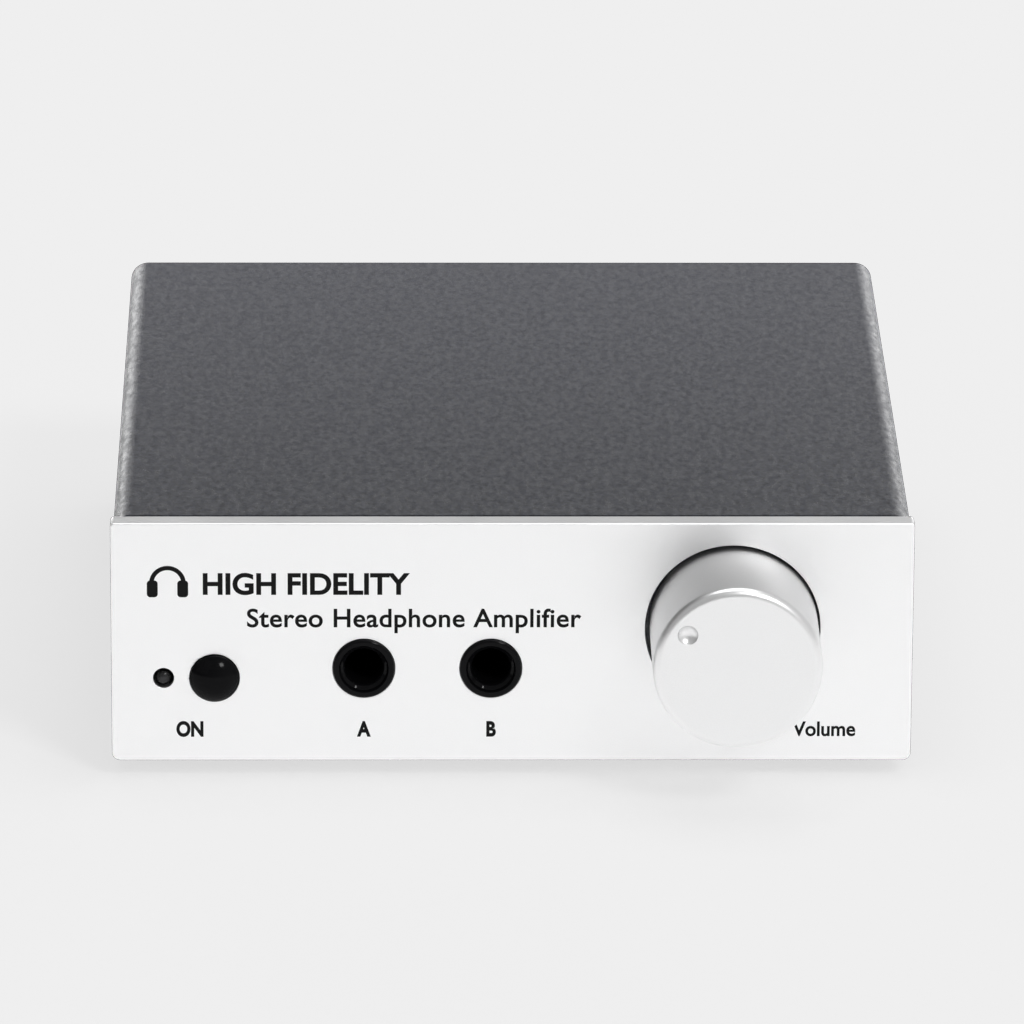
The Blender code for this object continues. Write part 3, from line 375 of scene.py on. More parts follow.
GLOSS_BLACK = (0.003, 0.003, 0.0035)
FINISH = {
    "anodised_silver": blasted_anodising("anodised_silver", 0.9, 0.42),
    "knob_silver": blasted_anodising("knob_silver", 0.81, 0.34),
    "graphite_powder_coat": powder_coat("graphite_powder_coat", 0.05, (0.9, 0.95, 1.25)),
    "black_rubber": rubber("black_rubber"),
    "black_screw": plated("black_screw", (0.035, 0.035, 0.037), 0.38),
    "zinc_steel": plated("zinc_steel", (0.62, 0.62, 0.6), 0.32),
    "nickel_shell": plated("nickel_shell", (0.75, 0.73, 0.68), 0.2),
    "plated_contact": plated("plated_contact", (0.8, 0.62, 0.28), 0.26),
    "gloss_black_plastic": moulding("gloss_black_plastic", GLOSS_BLACK, 0.12,
                                    depth=0.001, shine=0.06, dusty=0.004),
    "matte_black_plastic": moulding("matte_black_plastic", (0.022, 0.022, 0.023), 0.5,
                                    depth=0.012, grain=0.3),
    "white_plastic": moulding("white_plastic", (0.78, 0.78, 0.75), 0.38),
    "red_plastic": moulding("red_plastic", (0.52, 0.018, 0.015), 0.36),
    "capacitor_sleeve": moulding("capacitor_sleeve", (0.025, 0.03, 0.075), 0.3, depth=0.01, grain=1.2),
    "resistive_track": moulding("resistive_track", (0.24, 0.11, 0.045), 0.45, depth=0.01, grain=0.4),
    "smoked_lens": smoked_lens("smoked_lens"),
    "circuit_board": circuit_board("circuit_board"),
}
# the cover's powder coat, with a painted sheen that grows paler towards the rear
COVER_COAT_AND_PAINTED_SHEEN = powder_coat("cover_powder_coat_and_painted_sheen", 0.019, (0.85, 0.93, 1.35),
                         (-COVER_LOW.y / MM, -COVER_HIGH.y / MM))
JACK_BLACK = moulding("socket_black", GLOSS_BLACK, 0.05, depth=0.001, shine=0.08, dusty=0.002)
DARK_INK = printing("dark_ink", 0.006)
PALE_INK = printing("pale_ink", 0.6)


# ---- Drawing ------------------------------------------------------------------------------------------
def arc(centre, radius, start, end, steps):
    """Points from one angle to another, in degrees, both included."""
    angles = [math.radians(start + (end - start) * i / steps) for i in range(steps + 1)]
    return [(centre[0] + radius * math.cos(a), centre[1] + radius * math.sin(a)) for a in angles]


def circle(centre, radius, count):
    return arc(centre, radius, 0, 360, count)[:-1]


def rounded_rectangle(low, high, foot, head, steps):
    """A rectangle with one radius on its two lower corners and another on its two upper ones."""
    return (
        arc((low[0] + foot, low[1] + foot), foot, 180, 270, steps)
        + arc((high[0] - foot, low[1] + foot), foot, 270, 360, steps)
        + arc((high[0] - head, high[1] - head), head, 0, 90, steps)
        + arc((low[0] + head, high[1] - head), head, 90, 180, steps)
    )


def channel(width, height, radius, sheet, steps):
    """The section of a sheet bent into a U, standing on its web, in the middle of the drawing's X."""
    half, inner = width / 2, radius - sheet
    left, right = (radius - half, radius), (half - radius, radius)
    return (
        [(-half, height)]
        + arc(left, radius, 180, 270, steps)
        + arc(right, radius, 270, 360, steps)
        + [(half, height), (half - sheet, height)]
        + arc(right, inner, 360, 270, steps)
        + arc(left, inner, 270, 180, steps)
        + [(sheet - half, height)]
    )


def filleted(corners, closed=False, steps=6):
    """A line through (u, v, radius) corners, each rounded to its radius. An open line's ends stay sharp."""
    points, count = [], len(corners)
    for i, (u, v, radius) in enumerate(corners):
        here = Vector((u, v))
        if not radius or (not closed and i in (0, count - 1)):
            points.append((u, v))
            continue
        before = (Vector(corners[i - 1][:2]) - here).normalized()
        after = (Vector(corners[(i + 1) % count][:2]) - here).normalized()
        half = before.angle(after) / 2
        centre = here + (before + after).normalized() * (radius / math.sin(half))
        start = (here + before * (radius / math.tan(half)) - centre).normalized()
        end = (here + after * (radius / math.tan(half)) - centre).normalized()
        points += [tuple(centre + start.slerp(end, k / steps) * radius) for k in range(steps + 1)]
    return points


# ---- Closed meshes ------------------------------------------------------------------------------------
def skin(bm, low, high):
    for i in range(len(low)):
        bm.faces.new((low[i - 1], low[i], high[i], high[i - 1]))


def plate(loops, start, depth, edge, steps=5):
    """A flat plate along local Z whose rims are rounded.

    Each loop is a function of how far the material is set back from its full outline: the first is the
    outline, the others are holes.
    """
    turns = [math.radians(90 * i / steps) for i in range(steps + 1)]
    rim = [(edge * (1 - math.sin(t)), edge * (1 - math.cos(t))) for t in turns]
    levels = [(back, start + rise) for back, rise in rim]
    levels += [(back, start + depth - rise) for back, rise in reversed(rim)]
    bm = bmesh.new()
    rings = [[[bm.verts.new((u, v, z)) for u, v in loop(back)] for loop in loops] for back, z in levels]
    for cap in (rings[0], rings[-1]):
        edges = [bm.edges.new(pair) for ring in cap for pair in zip(ring, ring[1:] + ring[:1])]
        bmesh.ops.triangle_fill(bm, use_beauty=True, edges=edges)
    for low, high in zip(rings, rings[1:]):
        for low_ring, high_ring in zip(low, high):
            skin(bm, low_ring, high_ring)
    bmesh.ops.recalc_face_normals(bm, faces=bm.faces)
    return bm


def prism(outline, depth, start=0.0):
    """The flat outline carried along local Z from start by depth, with plain rims."""
    bm = bmesh.new()
    low = [bm.verts.new((u, v, start)) for u, v in outline]
    high = [bm.verts.new((u, v, start + depth)) for u, v in outline]
    bm.faces.new(low)
    bm.faces.new(high)
    skin(bm, low, high)
    bmesh.ops.recalc_face_normals(bm, faces=bm.faces)
    return bm


def turned(profile, count, closed=False):
    """(radius, height) points spun about local Z. An open profile starts and ends on the axis."""
    bm = bmesh.new()
    points = [bm.verts.new((radius, 0, height)) for radius, height in profile]
    edges = [bm.edges.new(pair) for pair in zip(points, points[1:])]
    if closed:
        edges.append(bm.edges.new((points[-1], points[0])))
    bmesh.ops.spin(
        bm, geom=points + edges, axis=(0, 0, 1), cent=(0, 0, 0), angle=math.tau, steps=count, use_merge=True
    )
    bmesh.ops.remove_doubles(bm, verts=bm.verts, dist=0.0001 * MM)
    bmesh.ops.recalc_face_normals(bm, faces=bm.faces)
    return bm


def block(low, high, edge=0.0, segments=4):
    """A box between two corners with rounded edges."""
    bm = bmesh.new()
    bmesh.ops.create_cube(bm, size=1)
    low, high = Vector(low), Vector(high)
    bmesh.ops.scale(bm, vec=high - low, verts=bm.verts)
    bmesh.ops.translate(bm, vec=(low + high) / 2, verts=bm.verts)
    if edge:
        bmesh.ops.bevel(bm, geom=bm.edges[:], offset=edge, segments=segments, profile=0.5, affect="EDGES")
    return bm


# ---- Objects ------------------------------------------------------------------------------------------
def loose(name, bm, finish, at=(0, 0, 0), turn=(0, 0, 0)):
    """An object that rides on nothing yet."""
    mesh = bpy.data.meshes.new(name)
    bm.to_mesh(mesh)
    bm.free()
    mesh.materials.append(finish)
    made = bpy.data.objects.new(name, mesh)
    bpy.context.scene.collection.objects.link(made)
    made.location = at
    made.rotation_euler = turn
    return made


def boolean(target, operation, bm, at=(0, 0, 0), turn=(0, 0, 0)):
    """Cuts bm from target, or joins it on, for good."""
    tool = loose("tool", bm, target.data.materials[0], at, turn)
    step = target.modifiers.new("step", "BOOLEAN")
    step.object = tool
    step.operation = operation
    step.solver = "EXACT"
    graph = bpy.context.evaluated_depsgraph_get()
    solid = bpy.data.meshes.new_from_object(target.evaluated_get(graph))
    target.modifiers.remove(step)
    target.data = solid
    bpy.data.objects.remove(tool)


def cut(target, bm, at=(0, 0, 0), turn=(0, 0, 0)):
    boolean(target, "DIFFERENCE", bm, at, turn)


def join(target, bm, at=(0, 0, 0), turn=(0, 0, 0)):
    boolean(target, "UNION", bm, at, turn)


def shade(made, sharp=38):
    """Smooth over roundings, sharp past an angle in degrees, flat on the large faces."""
    made.data.shade_smooth()
    made.data.set_sharp_from_angle(angle=math.radians(sharp))
    weighted = made.modifiers.new("even_normals", "WEIGHTED_NORMAL")
    weighted.keep_sharp = True
    weighted.weight = 100


def stands_for(made, *nodes):
    """The piece rides and takes its finish as the first node does, and hides all of them."""
    shade(made)
    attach(made, BODY_OF[nodes[0]])
    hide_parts(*nodes)
    return made


def fine(cad_node, bm, at=(0, 0, 0), turn=(0, 0, 0), finish=None):
    """A fine piece in place of a CAD node, not yet riding, so that it can still be cut."""
    return loose(f"{cad_node}_fine", bm, finish or FINISH[SLOT_OF[cad_node]], at, turn)


# ---- Case ---------------------------------------------------------------------------------------------
def hole(centre, radius, count):
    """A hole whose rim is broken by a third of what rounds the outline."""
    return lambda back: circle(centre, radius + back / 3, count)


def build_front_panel():
    low, high = flat(PANEL_LOW), flat(PANEL_HIGH)

    def outline(back):
        near, far = (low[0] + back, low[1] + back), (high[0] - back, high[1] - back)
        return rounded_rectangle(near, far, PANEL_FOOT_CORNER - back, PANEL_HEAD_CORNER - back, 10)

    loops = [
        outline,
        hole(LAMP_AT, LAMP_FLANGE - LAMP_LAP, SMALL),
        hole(BUTTON_AT, BUTTON_RADIUS + BUTTON_GAP, ROUND),
        *(hole(at, JACK_NOSE + NOSE_GAP, ROUND) for at in JACK_AT.values()),
        hole((VOLUME_AT[0] - KNOB_HOLE_SHIFT, VOLUME_AT[1]), KNOB_RADIUS + KNOB_GAP, SMOOTH),
    ]
    slab = plate(loops, -PANEL_THICK, PANEL_THICK, PANEL_EDGE)
    panel = fine("front_panel", slab, (0, FACE, 0), AIM["front"])
    skin_thick = 1 * MM  # what the blind screw holes leave in front of them
    for corner in PANEL_CORNERS:
        x, z = flat(middle_of(f"panel_screw_{corner}"))
        drill = prism(circle((0, 0), SCREW_HOLE, SMALL), PANEL_THICK, start=-PANEL_THICK - skin_thick)
        cut(panel, drill, (x, FACE, z), AIM["front"])
    stands_for(panel, "front_panel")


def build_cover():
    """The channel turned upside down, its web level with the panel's top edge."""
    width, height = COVER_HIGH.x - COVER_LOW.x, COVER_HIGH.z - COVER_LOW.z
    depth = COVER_HIGH.y - COVER_LOW.y

    def section(back):
        drawn = channel(width - 2 * back, height - 2 * back, COVER_BEND - back, SHEET - 2 * back, 16)
        return [(x, COVER_HIGH.z - back - drop) for x, drop in drawn]

    sheet = plate([section], -COVER_HIGH.y, depth, 0.2 * MM, 4)
    cover = fine("top_cover", sheet, turn=AIM["front"], finish=COVER_COAT_AND_PAINTED_SHEEN)
    for corner in CORNERS:
        spot = middle_of(f"cover_screw_{corner}")
        drill = prism(circle((0, 0), SCREW_HOLE, SMALL), 8 * MM, start=-4 * MM)
        side = math.copysign(COVER_HIGH.x, spot.x)
        cut(cover, drill, (side, spot.y, spot.z), AIM["right"])
    stands_for(cover, "top_cover")


def build_chassis():
    """Floor with an upright at each end, side lips for the cover's screws, and pressed-in standoffs."""
    length, width = CHASSIS_HIGH.y - CHASSIS_LOW.y, CHASSIS_HIGH.x - CHASSIS_LOW.x
    height, bottom = CHASSIS_HIGH.z - CHASSIS_LOW.z, CHASSIS_LOW.z

    def section(back):
        drawn = channel(length - 2 * back, height - 2 * back, CHASSIS_BEND - back, SHEET - 2 * back, 12)
        return [(y, z + back) for y, z in drawn]

    tray = plate([section], -width / 2, width, 0.15 * MM, 3)
    chassis = fine("base_chassis", tray, (0, (CHASSIS_LOW.y + CHASSIS_HIGH.y) / 2, bottom), SIDE_VIEW)
    inset, top = SHEET + LIP_INSET, bottom + LIP_TOP
    for side in (-1, 1):
        edges = sorted((side * width / 2, side * (width / 2 - SHEET)))
        low = (edges[0], CHASSIS_LOW.y + inset, bottom)
        join(chassis, block(low, (edges[1], CHASSIS_HIGH.y - inset, top), 0.1 * MM, 2))
    add_standoffs(chassis, bottom)
    drill_chassis(chassis)
    stands_for(chassis, "base_chassis")


def add_standoffs(chassis, bottom):
    """Turned posts sunk halfway into the floor, each with a blind hole, 0.3 mm short of the board."""
    radius, root = STANDOFF_RADIUS, SHEET / 2
    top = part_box("main_board")[0].z - bottom - 0.3 * MM
    blind = SHEET + 0.8 * MM
    corners = [(0, root, 0), (radius, root, 0), (radius, top, 0.25 * MM), (SCREW_HOLE, top, 0.2 * MM),
               (SCREW_HOLE, blind, 0), (0, blind, 0)]
    for corner in CORNERS:
        spot = middle_of(f"board_screw_{corner}")
        join(chassis, turned(filleted(corners), SMALL), (spot.x, spot.y, bottom))


def drill_chassis(chassis):
    """Holes in both uprights, in the side lips and in the floor under the gain switch."""
    front, back, room = CHASSIS_LOW.y, CHASSIS_HIGH.y, 0.6 * MM
    bushing_hole, inlet_hole, flange_lap = 4.8 * MM, 4.4 * MM, 0.85 * MM
    ahead = [(LAMP_AT, LAMP_FLANGE + 0.5 * MM), (BUTTON_AT, BUTTON_RADIUS + room)]
    ahead += [(at, JACK_NOSE + room) for at in JACK_AT.values()]
    ahead.append((VOLUME_AT, bushing_hole))
    for corner in PANEL_CORNERS:
        ahead.append((flat(middle_of(f"panel_screw_{corner}")), SCREW_HOLE + 0.1 * MM))
    behind = [(flat(middle_of(name)), size_of(name).x / 2 - flange_lap) for name in phono_nodes("shell")]
    behind.append((flat(middle_of("power_inlet_pin")), inlet_hole))
    for wall, holes in ((front, ahead), (back - SHEET, behind)):
        for (x, z), radius in holes:
            drill = prism(circle((0, 0), radius, ROUND), SHEET + 2 * OVERRUN, start=-SHEET - OVERRUN)
            cut(chassis, drill, (x, wall, z), AIM["front"])
    for corner in CORNERS:
        spot = middle_of(f"cover_screw_{corner}")
        drill = prism(circle((0, 0), SCREW_HOLE, SMALL), 4 * MM, start=-2 * MM)
        cut(chassis, drill, (math.copysign(CHASSIS_HIGH.x, spot.x), spot.y, spot.z), AIM["right"])
    half, rounding = (5.2 * MM, 3.8 * MM), 0.8 * MM
    window = rounded_rectangle((-half[0], -half[1]), half, rounding, rounding, 6)
    spot = middle_of("gain_switch")
    cut(chassis, prism(window, SHEET + 2 * OVERRUN), (0, spot.y, CHASSIS_LOW.z - OVERRUN))
    relieve_corners(chassis)


def relieve_corners(chassis):
    """The uprights' top corners are cut off at 45 degrees, to clear the cover's inner bends."""
    low, high = CHASSIS_HIGH.z - CORNER_CUT - OVERRUN, CHASSIS_HIGH.z + OVERRUN
    length = CHASSIS_HIGH.y - CHASSIS_LOW.y + 2 * OVERRUN
    for side in (-1, 1):
        outer = side * (CHASSIS_HIGH.x + OVERRUN)
        inner = side * (CHASSIS_HIGH.x - CORNER_CUT - OVERRUN)
        wedge = prism([(outer, low), (outer, high), (inner, high)], length, start=-CHASSIS_HIGH.y - OVERRUN)
        cut(chassis, wedge, turn=AIM["front"])


def build_feet():
    """Soft feet: a flat tread with a round hollow in its middle, and a rounded shoulder."""
    for corner in CORNERS:
        low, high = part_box(f"foot_{corner}")
        radius, height = (high.x - low.x) / 2, high.z - low.z
        corners = [
            (0, 0.8 * MM, 0),
            (1.7 * MM, 0.8 * MM, 0.3 * MM),
            (2.2 * MM, 0, 0.2 * MM),
            (radius - 1.1 * MM, 0, 0.7 * MM),
            (radius - 0.15 * MM, 1.1 * MM, 1.2 * MM),
            (radius, height, 0.15 * MM),
            (0, height, 0),
        ]
        middle = (low + high) / 2
        stands_for(fine(f"foot_{corner}", turned(filleted(corners), ROUND), (middle.x, middle.y, low.z)),
                   f"foot_{corner}")


def screw(name, seat, turn, head, rise, length):
    """A low-headed screw with a hexagon socket; seat is the middle of the head's underside."""
    corners = [
        (0, -length, 0),
        (SCREW_SHANK - 0.3 * MM, -length, 0),
        (SCREW_SHANK, 0.3 * MM - length, 0),
        (SCREW_SHANK, 0, 0.05 * MM),
        (head, 0, 0.1 * MM),
        (head, 0.5 * rise, 0.35 * MM),
        (0.62 * head, rise, 0.5 * MM),
        (0, rise, 0),
    ]
    made = fine(name, turned(filleted(corners), ROUND), seat, turn)
    cut(made, prism(circle((0, 0), 1.15 * MM, 6), rise, start=0.35 * rise), seat, turn)
    stands_for(made, name)


def place_screw(name, aim, rise):
    """A screw that fills its CAD node's box, with its head at the end that it aims for."""
    low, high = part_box(name)
    axis, across = {"up": (2, 0), "back": (1, 0)}.get(aim, (0, 2))
    seat = (low + high) / 2
    seat[axis] = low[axis] + rise if aim == "left" else high[axis] - rise
    screw(name, seat, AIM[aim], (high[across] - low[across]) / 2, rise, high[axis] - low[axis] - rise)


def build_screws():
    for corner in CORNERS:
        side = corner.split("_")[0]
        place_screw(f"cover_screw_{corner}", side, LOW_RISE)
        place_screw(f"board_screw_{corner}", "up", CAP_RISE)
    for corner in PANEL_CORNERS:
        place_screw(f"panel_screw_{corner}", "back", CAP_RISE)


# ---- Controls on the front ----------------------------------------------------------------------------
def build_knob():
    """A solid turned knob with a rounded front edge, a marker dimple and a hole for its set screw."""
    x, z = VOLUME_AT
    recess, hub, blind, bore = 12 * MM, 2 * MM, 15 * MM, 3.1 * MM
    corners = [
        (0, blind, 0),
        (bore, blind, 0),
        (bore, hub, 0.3 * MM),
        (recess, hub, 0.8 * MM),
        (recess, KNOB_REAR, 0.2 * MM),
        (KNOB_RADIUS, KNOB_REAR, 0.3 * MM),
        (KNOB_RADIUS, KNOB_FRONT, KNOB_EDGE),
        (0, KNOB_FRONT, 0),
    ]
    knob = fine("volume_knob", turned(filleted(corners, steps=12), SMOOTH), (x, FACE, z), AIM["front"])
    angle = math.radians(DIMPLE_ANGLE)
    across, up = -DIMPLE_FROM_AXIS * math.sin(angle), DIMPLE_FROM_AXIS * math.cos(angle)
    ball = (DIMPLE_RADIUS**2 + DIMPLE_DEPTH**2) / (2 * DIMPLE_DEPTH)
    bowl = arc((0, ball - DIMPLE_DEPTH), ball, -90, 90, 32)
    cutter = turned([(0, bowl[0][1]), *bowl[1:-1], (0, bowl[-1][1])], SMALL)
    cut(knob, cutter, (x + across, FACE - KNOB_FRONT, z + up), AIM["front"])
    screw_y = middle_of("knob_set_screw").y
    cut(knob, prism(circle((0, 0), 1.7 * MM, SMALL), KNOB_RADIUS + OVERRUN), (x, screw_y, z), AIM["down"])
    stands_for(knob, "volume_knob")


def build_knob_screw():
    low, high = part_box("knob_set_screw")
    middle, length, radius = (low + high) / 2, high.z - low.z, (high.x - low.x) / 2
    lead = 0.25 * MM
    corners = [(0, 0, 0), (radius - lead, 0, 0), (radius, lead, 0), (radius, length - lead, 0),
               (radius - lead, length, 0), (0, length, 0)]
    grub = fine("knob_set_screw", turned(filleted(corners), SMALL), (middle.x, middle.y, high.z), AIM["down"])
    socket = prism(circle((0, 0), 0.87 * MM, 6), length, start=0.6 * length)
    cut(grub, socket, (middle.x, middle.y, high.z), AIM["down"])
    stands_for(grub, "knob_set_screw")


def build_button():
    """A shallow glossy dome on a skirt, with a socket behind for the plunger."""
    x, z = BUTTON_AT
    rim, rise = 0.5 * MM, BUTTON_FRONT - 0.5 * MM
    ball = (BUTTON_RADIUS**2 + rise**2) / (2 * rise)
    reach = math.degrees(math.asin(BUTTON_RADIUS / ball))
    dome = arc((0, BUTTON_FRONT - ball), ball, 90 - reach, 90, 24)
    socket, bottom = 2.0 * MM, -2 * MM
    skirt = [(0, bottom), (socket, bottom), (socket, BUTTON_BACK), (BUTTON_RADIUS, BUTTON_BACK)]
    corner = filleted([(*skirt[-1], 0), (BUTTON_RADIUS, rim, 0.12 * MM), (*dome[1], 0)])[1:-1]
    profile = skirt + corner + dome[1:-1] + [(0, dome[-1][1])]
    stands_for(fine("power_button", turned(profile, SMOOTH), (x, FACE, z), AIM["front"]), "power_button")


def build_spring():
    """A coil with closed ends, which the plunger squeezes against the switch's back wall."""
    low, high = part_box("switch_spring")
    middle, length, wire = (low + high) / 2, high.y - low.y, 0.28 * MM
    radius = (high.x - low.x) / 2 - wire
    turns, steps, sides = 7, 40, 12
    closed = 2.2 * wire  # the rise of an end coil
    free = (length - 2 * wire - 2 * closed) / (turns - 2)
    bm = bmesh.new()
    rings, height = [], wire
    for i in range(turns * steps + 1):
        angle = math.tau * i / steps
        out, up = Vector((math.cos(angle), math.sin(angle), 0)), Vector((0, 0, 1))
        centre = out * radius + up * height
        around = circle((0, 0), wire, sides)
        rings.append([bm.verts.new(centre + out * u + up * v) for u, v in around])
        at_end = i < steps or i >= (turns - 1) * steps
        height += (closed if at_end else free) / steps
    for near, far in zip(rings, rings[1:]):
        skin(bm, near, far)
    for cap in (rings[0], rings[-1]):
        bm.faces.new(cap)
    bmesh.ops.recalc_face_normals(bm, faces=bm.faces)
    spring = fine("switch_spring", bm, (middle.x, low.y, middle.z), AIM["back"])
    stands_for(spring, "switch_spring")
    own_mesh(spring)


def build_lamp():
    x, z = LAMP_AT
    low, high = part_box("lamp_lens")
    base, tip = FACE - high.y, FACE - low.y
    flange, radius = 1 * MM, 1.5 * MM
    dome = arc((0, tip - radius), radius, 0, 90, 20)
    profile = [(0, base), (LAMP_FLANGE, base), (LAMP_FLANGE, base + flange), (radius, base + flange)]
    profile += [*dome[:-1], (0, tip)]
    stands_for(fine("lamp_lens", turned(profile, ROUND), (x, FACE, z), AIM["front"]), "lamp_lens")


def build_jack(name):
    """A block on the board whose round nose fills the panel's hole, with a stepped mouth and a bore."""
    x, z = JACK_AT[name]
    low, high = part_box(f"{name}_housing")
    body = block((low.x, FACE + JACK_SHOULDER, low.z), (high.x, high.y, high.z), 0.4 * MM)
    housing = fine(f"{name}_housing", body, finish=JACK_BLACK)
    root = -JACK_SHOULDER - 2 * MM
    nose = [
        (0, root, 0),
        (JACK_NOSE, root, 0),
        (JACK_NOSE, JACK_NOSE_END, 0.5 * MM),
        (0, JACK_NOSE_END, 0),
    ]
    join(housing, turned(filleted(nose), SMOOTH), (x, FACE, z), AIM["front"])
    deep, ledge = -31 * MM, 0.25 * MM
    bore = [
        (0, deep, 0),
        (JACK_BORE, deep, 0),
        (JACK_BORE, JACK_NOSE_END - 1.3 * MM, 0.9 * MM),
        (JACK_MOUTH - 0.1 * MM, JACK_NOSE_END - 0.7 * MM, 0.4 * MM),
        (JACK_MOUTH, JACK_NOSE_END - ledge, 0.1 * MM),
        (JACK_MOUTH + 0.15 * MM, JACK_NOSE_END, 0),
        (JACK_MOUTH + 0.15 * MM, JACK_NOSE_END + OVERRUN, 0),
        (0, JACK_NOSE_END + OVERRUN, 0),
    ]
    cut(housing, turned(filleted(bore), SMOOTH), (x, FACE, z), AIM["front"])
    slot = 1.9 * MM
    slot_low = (x - slot, FACE + 22 * MM, z + 1.5 * MM)
    cut(housing, block(slot_low, (x + slot, FACE + 32 * MM, high.z + OVERRUN)))
    stands_for(housing, f"{name}_housing")


# ---- Sockets on the rear ------------------------------------------------------------------------------
def phono_nodes(part):
    return [f"phono_{part}_{column}_{row}" for column in ("input", "output") for row in ("left", "right")]


def build_phono_shells():
    """Plated collars with a turned flange, a groove behind the rim, and rounded lips."""
    for name in phono_nodes("shell"):
        low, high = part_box(name)
        middle, flange = (low + high) / 2, (high.x - low.x) / 2
        outer, inner, length = 4.15 * MM, 3.45 * MM, high.y - low.y
        seat = CHASSIS_HIGH.y + 0.3 * MM - low.y
        corners = [
            (inner, 0, 0),
            (outer, 0, 0),
            (outer, seat, 0),
            (flange, seat, 0.15 * MM),
            (flange, seat + 1 * MM, 0.3 * MM),
            (outer + 0.25 * MM, seat + 1 * MM, 0.2 * MM),
            (outer, seat + 1.5 * MM, 0.1 * MM),
            (outer, length - 1.6 * MM, 0.1 * MM),
            (outer - 0.15 * MM, length - 1.3 * MM, 0.1 * MM),
            (outer - 0.15 * MM, length - 1.0 * MM, 0.1 * MM),
            (outer, length - 0.8 * MM, 0.1 * MM),
            (outer, length, 0.3 * MM),
            (inner, length, 0.25 * MM),
        ]
        shell = turned(filleted(corners, closed=True), ROUND, closed=True)
        stands_for(fine(name, shell, (middle.x, low.y, middle.z), AIM["back"]), name)


def build_phono_cores():
    """The insulators, dished round a plated contact tube's hole."""
    for name in phono_nodes("core"):
        low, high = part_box(name)
        middle, outer = (low + high) / 2, (high.x - low.x) / 2
        end, pin, deep = high.y - low.y, 1.65 * MM, 12.2 * MM
        corners = [
            (0, 0, 0),
            (outer, 0, 0),
            (outer, end, 0.25 * MM),
            (2.75 * MM, end, 0.15 * MM),
            (2.5 * MM, end - 0.5 * MM, 0.15 * MM),
            (pin + 0.35 * MM, end - 0.5 * MM, 0.2 * MM),
            (pin, end - 0.95 * MM, 0.1 * MM),
            (pin, end - deep, 0),
            (0, end - deep, 0),
        ]
        core = turned(filleted(corners), ROUND)
        stands_for(fine(name, core, (middle.x, low.y, middle.z), AIM["back"]), name)


def build_power_inlet():
    low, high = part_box("power_inlet")
    pin_low, pin_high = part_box("power_inlet_pin")
    x, z = flat((pin_low + pin_high) / 2)
    wall = CHASSIS_HIGH.y - SHEET - 0.1 * MM
    socket = fine("power_inlet", block(low, (high.x, wall, high.z), 0.4 * MM))
    radius, bore = 4.1 * MM, 2.85 * MM
    nose = [(0, -3 * MM, 0), (radius, -3 * MM, 0), (radius, high.y - wall, 0.3 * MM), (0, high.y - wall, 0)]
    join(socket, turned(filleted(nose), ROUND), (x, wall, z), AIM["back"])
    deep, top = -8.4 * MM, high.y - wall
    hollow = [(0, deep, 0), (bore, deep, 0), (bore, top - 0.4 * MM, 0.1 * MM), (bore + 0.4 * MM, top, 0),
              (bore + 0.4 * MM, top + OVERRUN, 0), (0, top + OVERRUN, 0)]
    cut(socket, turned(filleted(hollow), ROUND), (x, wall, z), AIM["back"])
    stands_for(socket, "power_inlet")
    length, thick = pin_high.y - pin_low.y, (pin_high.x - pin_low.x) / 2
    corners = [(0, 0, 0), (thick, 0, 0), (thick, length, 0.45 * MM), (0, length, 0)]
    pin = turned(filleted(corners, steps=10), SMALL)
    stands_for(fine("power_inlet_pin", pin, (x, pin_low.y, z), AIM["back"]), "power_inlet_pin")


# ---- Print --------------------------------------------------------------------------------------------
CAP_SHARE = 0.729  # a capital's height as a share of the font's size
INK = 0.02 * MM  # how far the print stands off its surface


def label(name, text, at, cap, turn, ink, weight=0.0, spacing=1.0, align="CENTER", narrow=1.0):
    """Printed text on the case; at is its baseline on the surface, cap the height of a capital."""
    words = bpy.data.curves.new(name, "FONT")
    words.body = text
    words.size = cap / CAP_SHARE
    words.extrude = INK
    words.offset = weight
    words.space_character = spacing
    words.align_x = align
    words.resolution_u = 6
    words.materials.append(ink)
    made = bpy.data.objects.new(name, words)
    bpy.context.scene.collection.objects.link(made)
    made.location = at
    made.rotation_euler = turn
    made.scale.x = narrow
    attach(made, "case")
    return made


def front_label(name, text, x, foot, cap, weight, **settings):
    """Dark print on the front panel, its baseline at a height above the panel's lower edge."""
    label(name, text, (x, FACE, PANEL_LOW.z + foot), cap, AIM["front"], DARK_INK, weight, **settings)


def build_front_print():
    """Generic legends: what the controls are, and what the thing is."""
    foot, small, bold, narrow = 4.6 * MM, 2.75 * MM, 0.17 * MM, 0.8
    front_label("print_on", "ON", -56.3 * MM, foot, small, bold, narrow=narrow)
    for letter, name in (("A", "jack_a"), ("B", "jack_b")):
        front_label(f"print_{letter.lower()}", letter, JACK_AT[name][0], foot, small, bold, narrow=narrow)
    front_label("print_volume", "Volume", 49.3 * MM, foot, small, 0.09 * MM, align="LEFT", narrow=0.93)
    front_label("print_title", "HIGH FIDELITY", -54.2 * MM, 31 * MM, 3.95 * MM, 0.16 * MM, align="LEFT")
    front_label("print_kind", "Stereo Headphone Amplifier", -46.4 * MM, 24.9 * MM, 3.5 * MM, 0.08 * MM,
                spacing=1.04, align="LEFT")
    build_pictogram((-60.1 * MM, FACE, PANEL_LOW.z + 30.4 * MM))


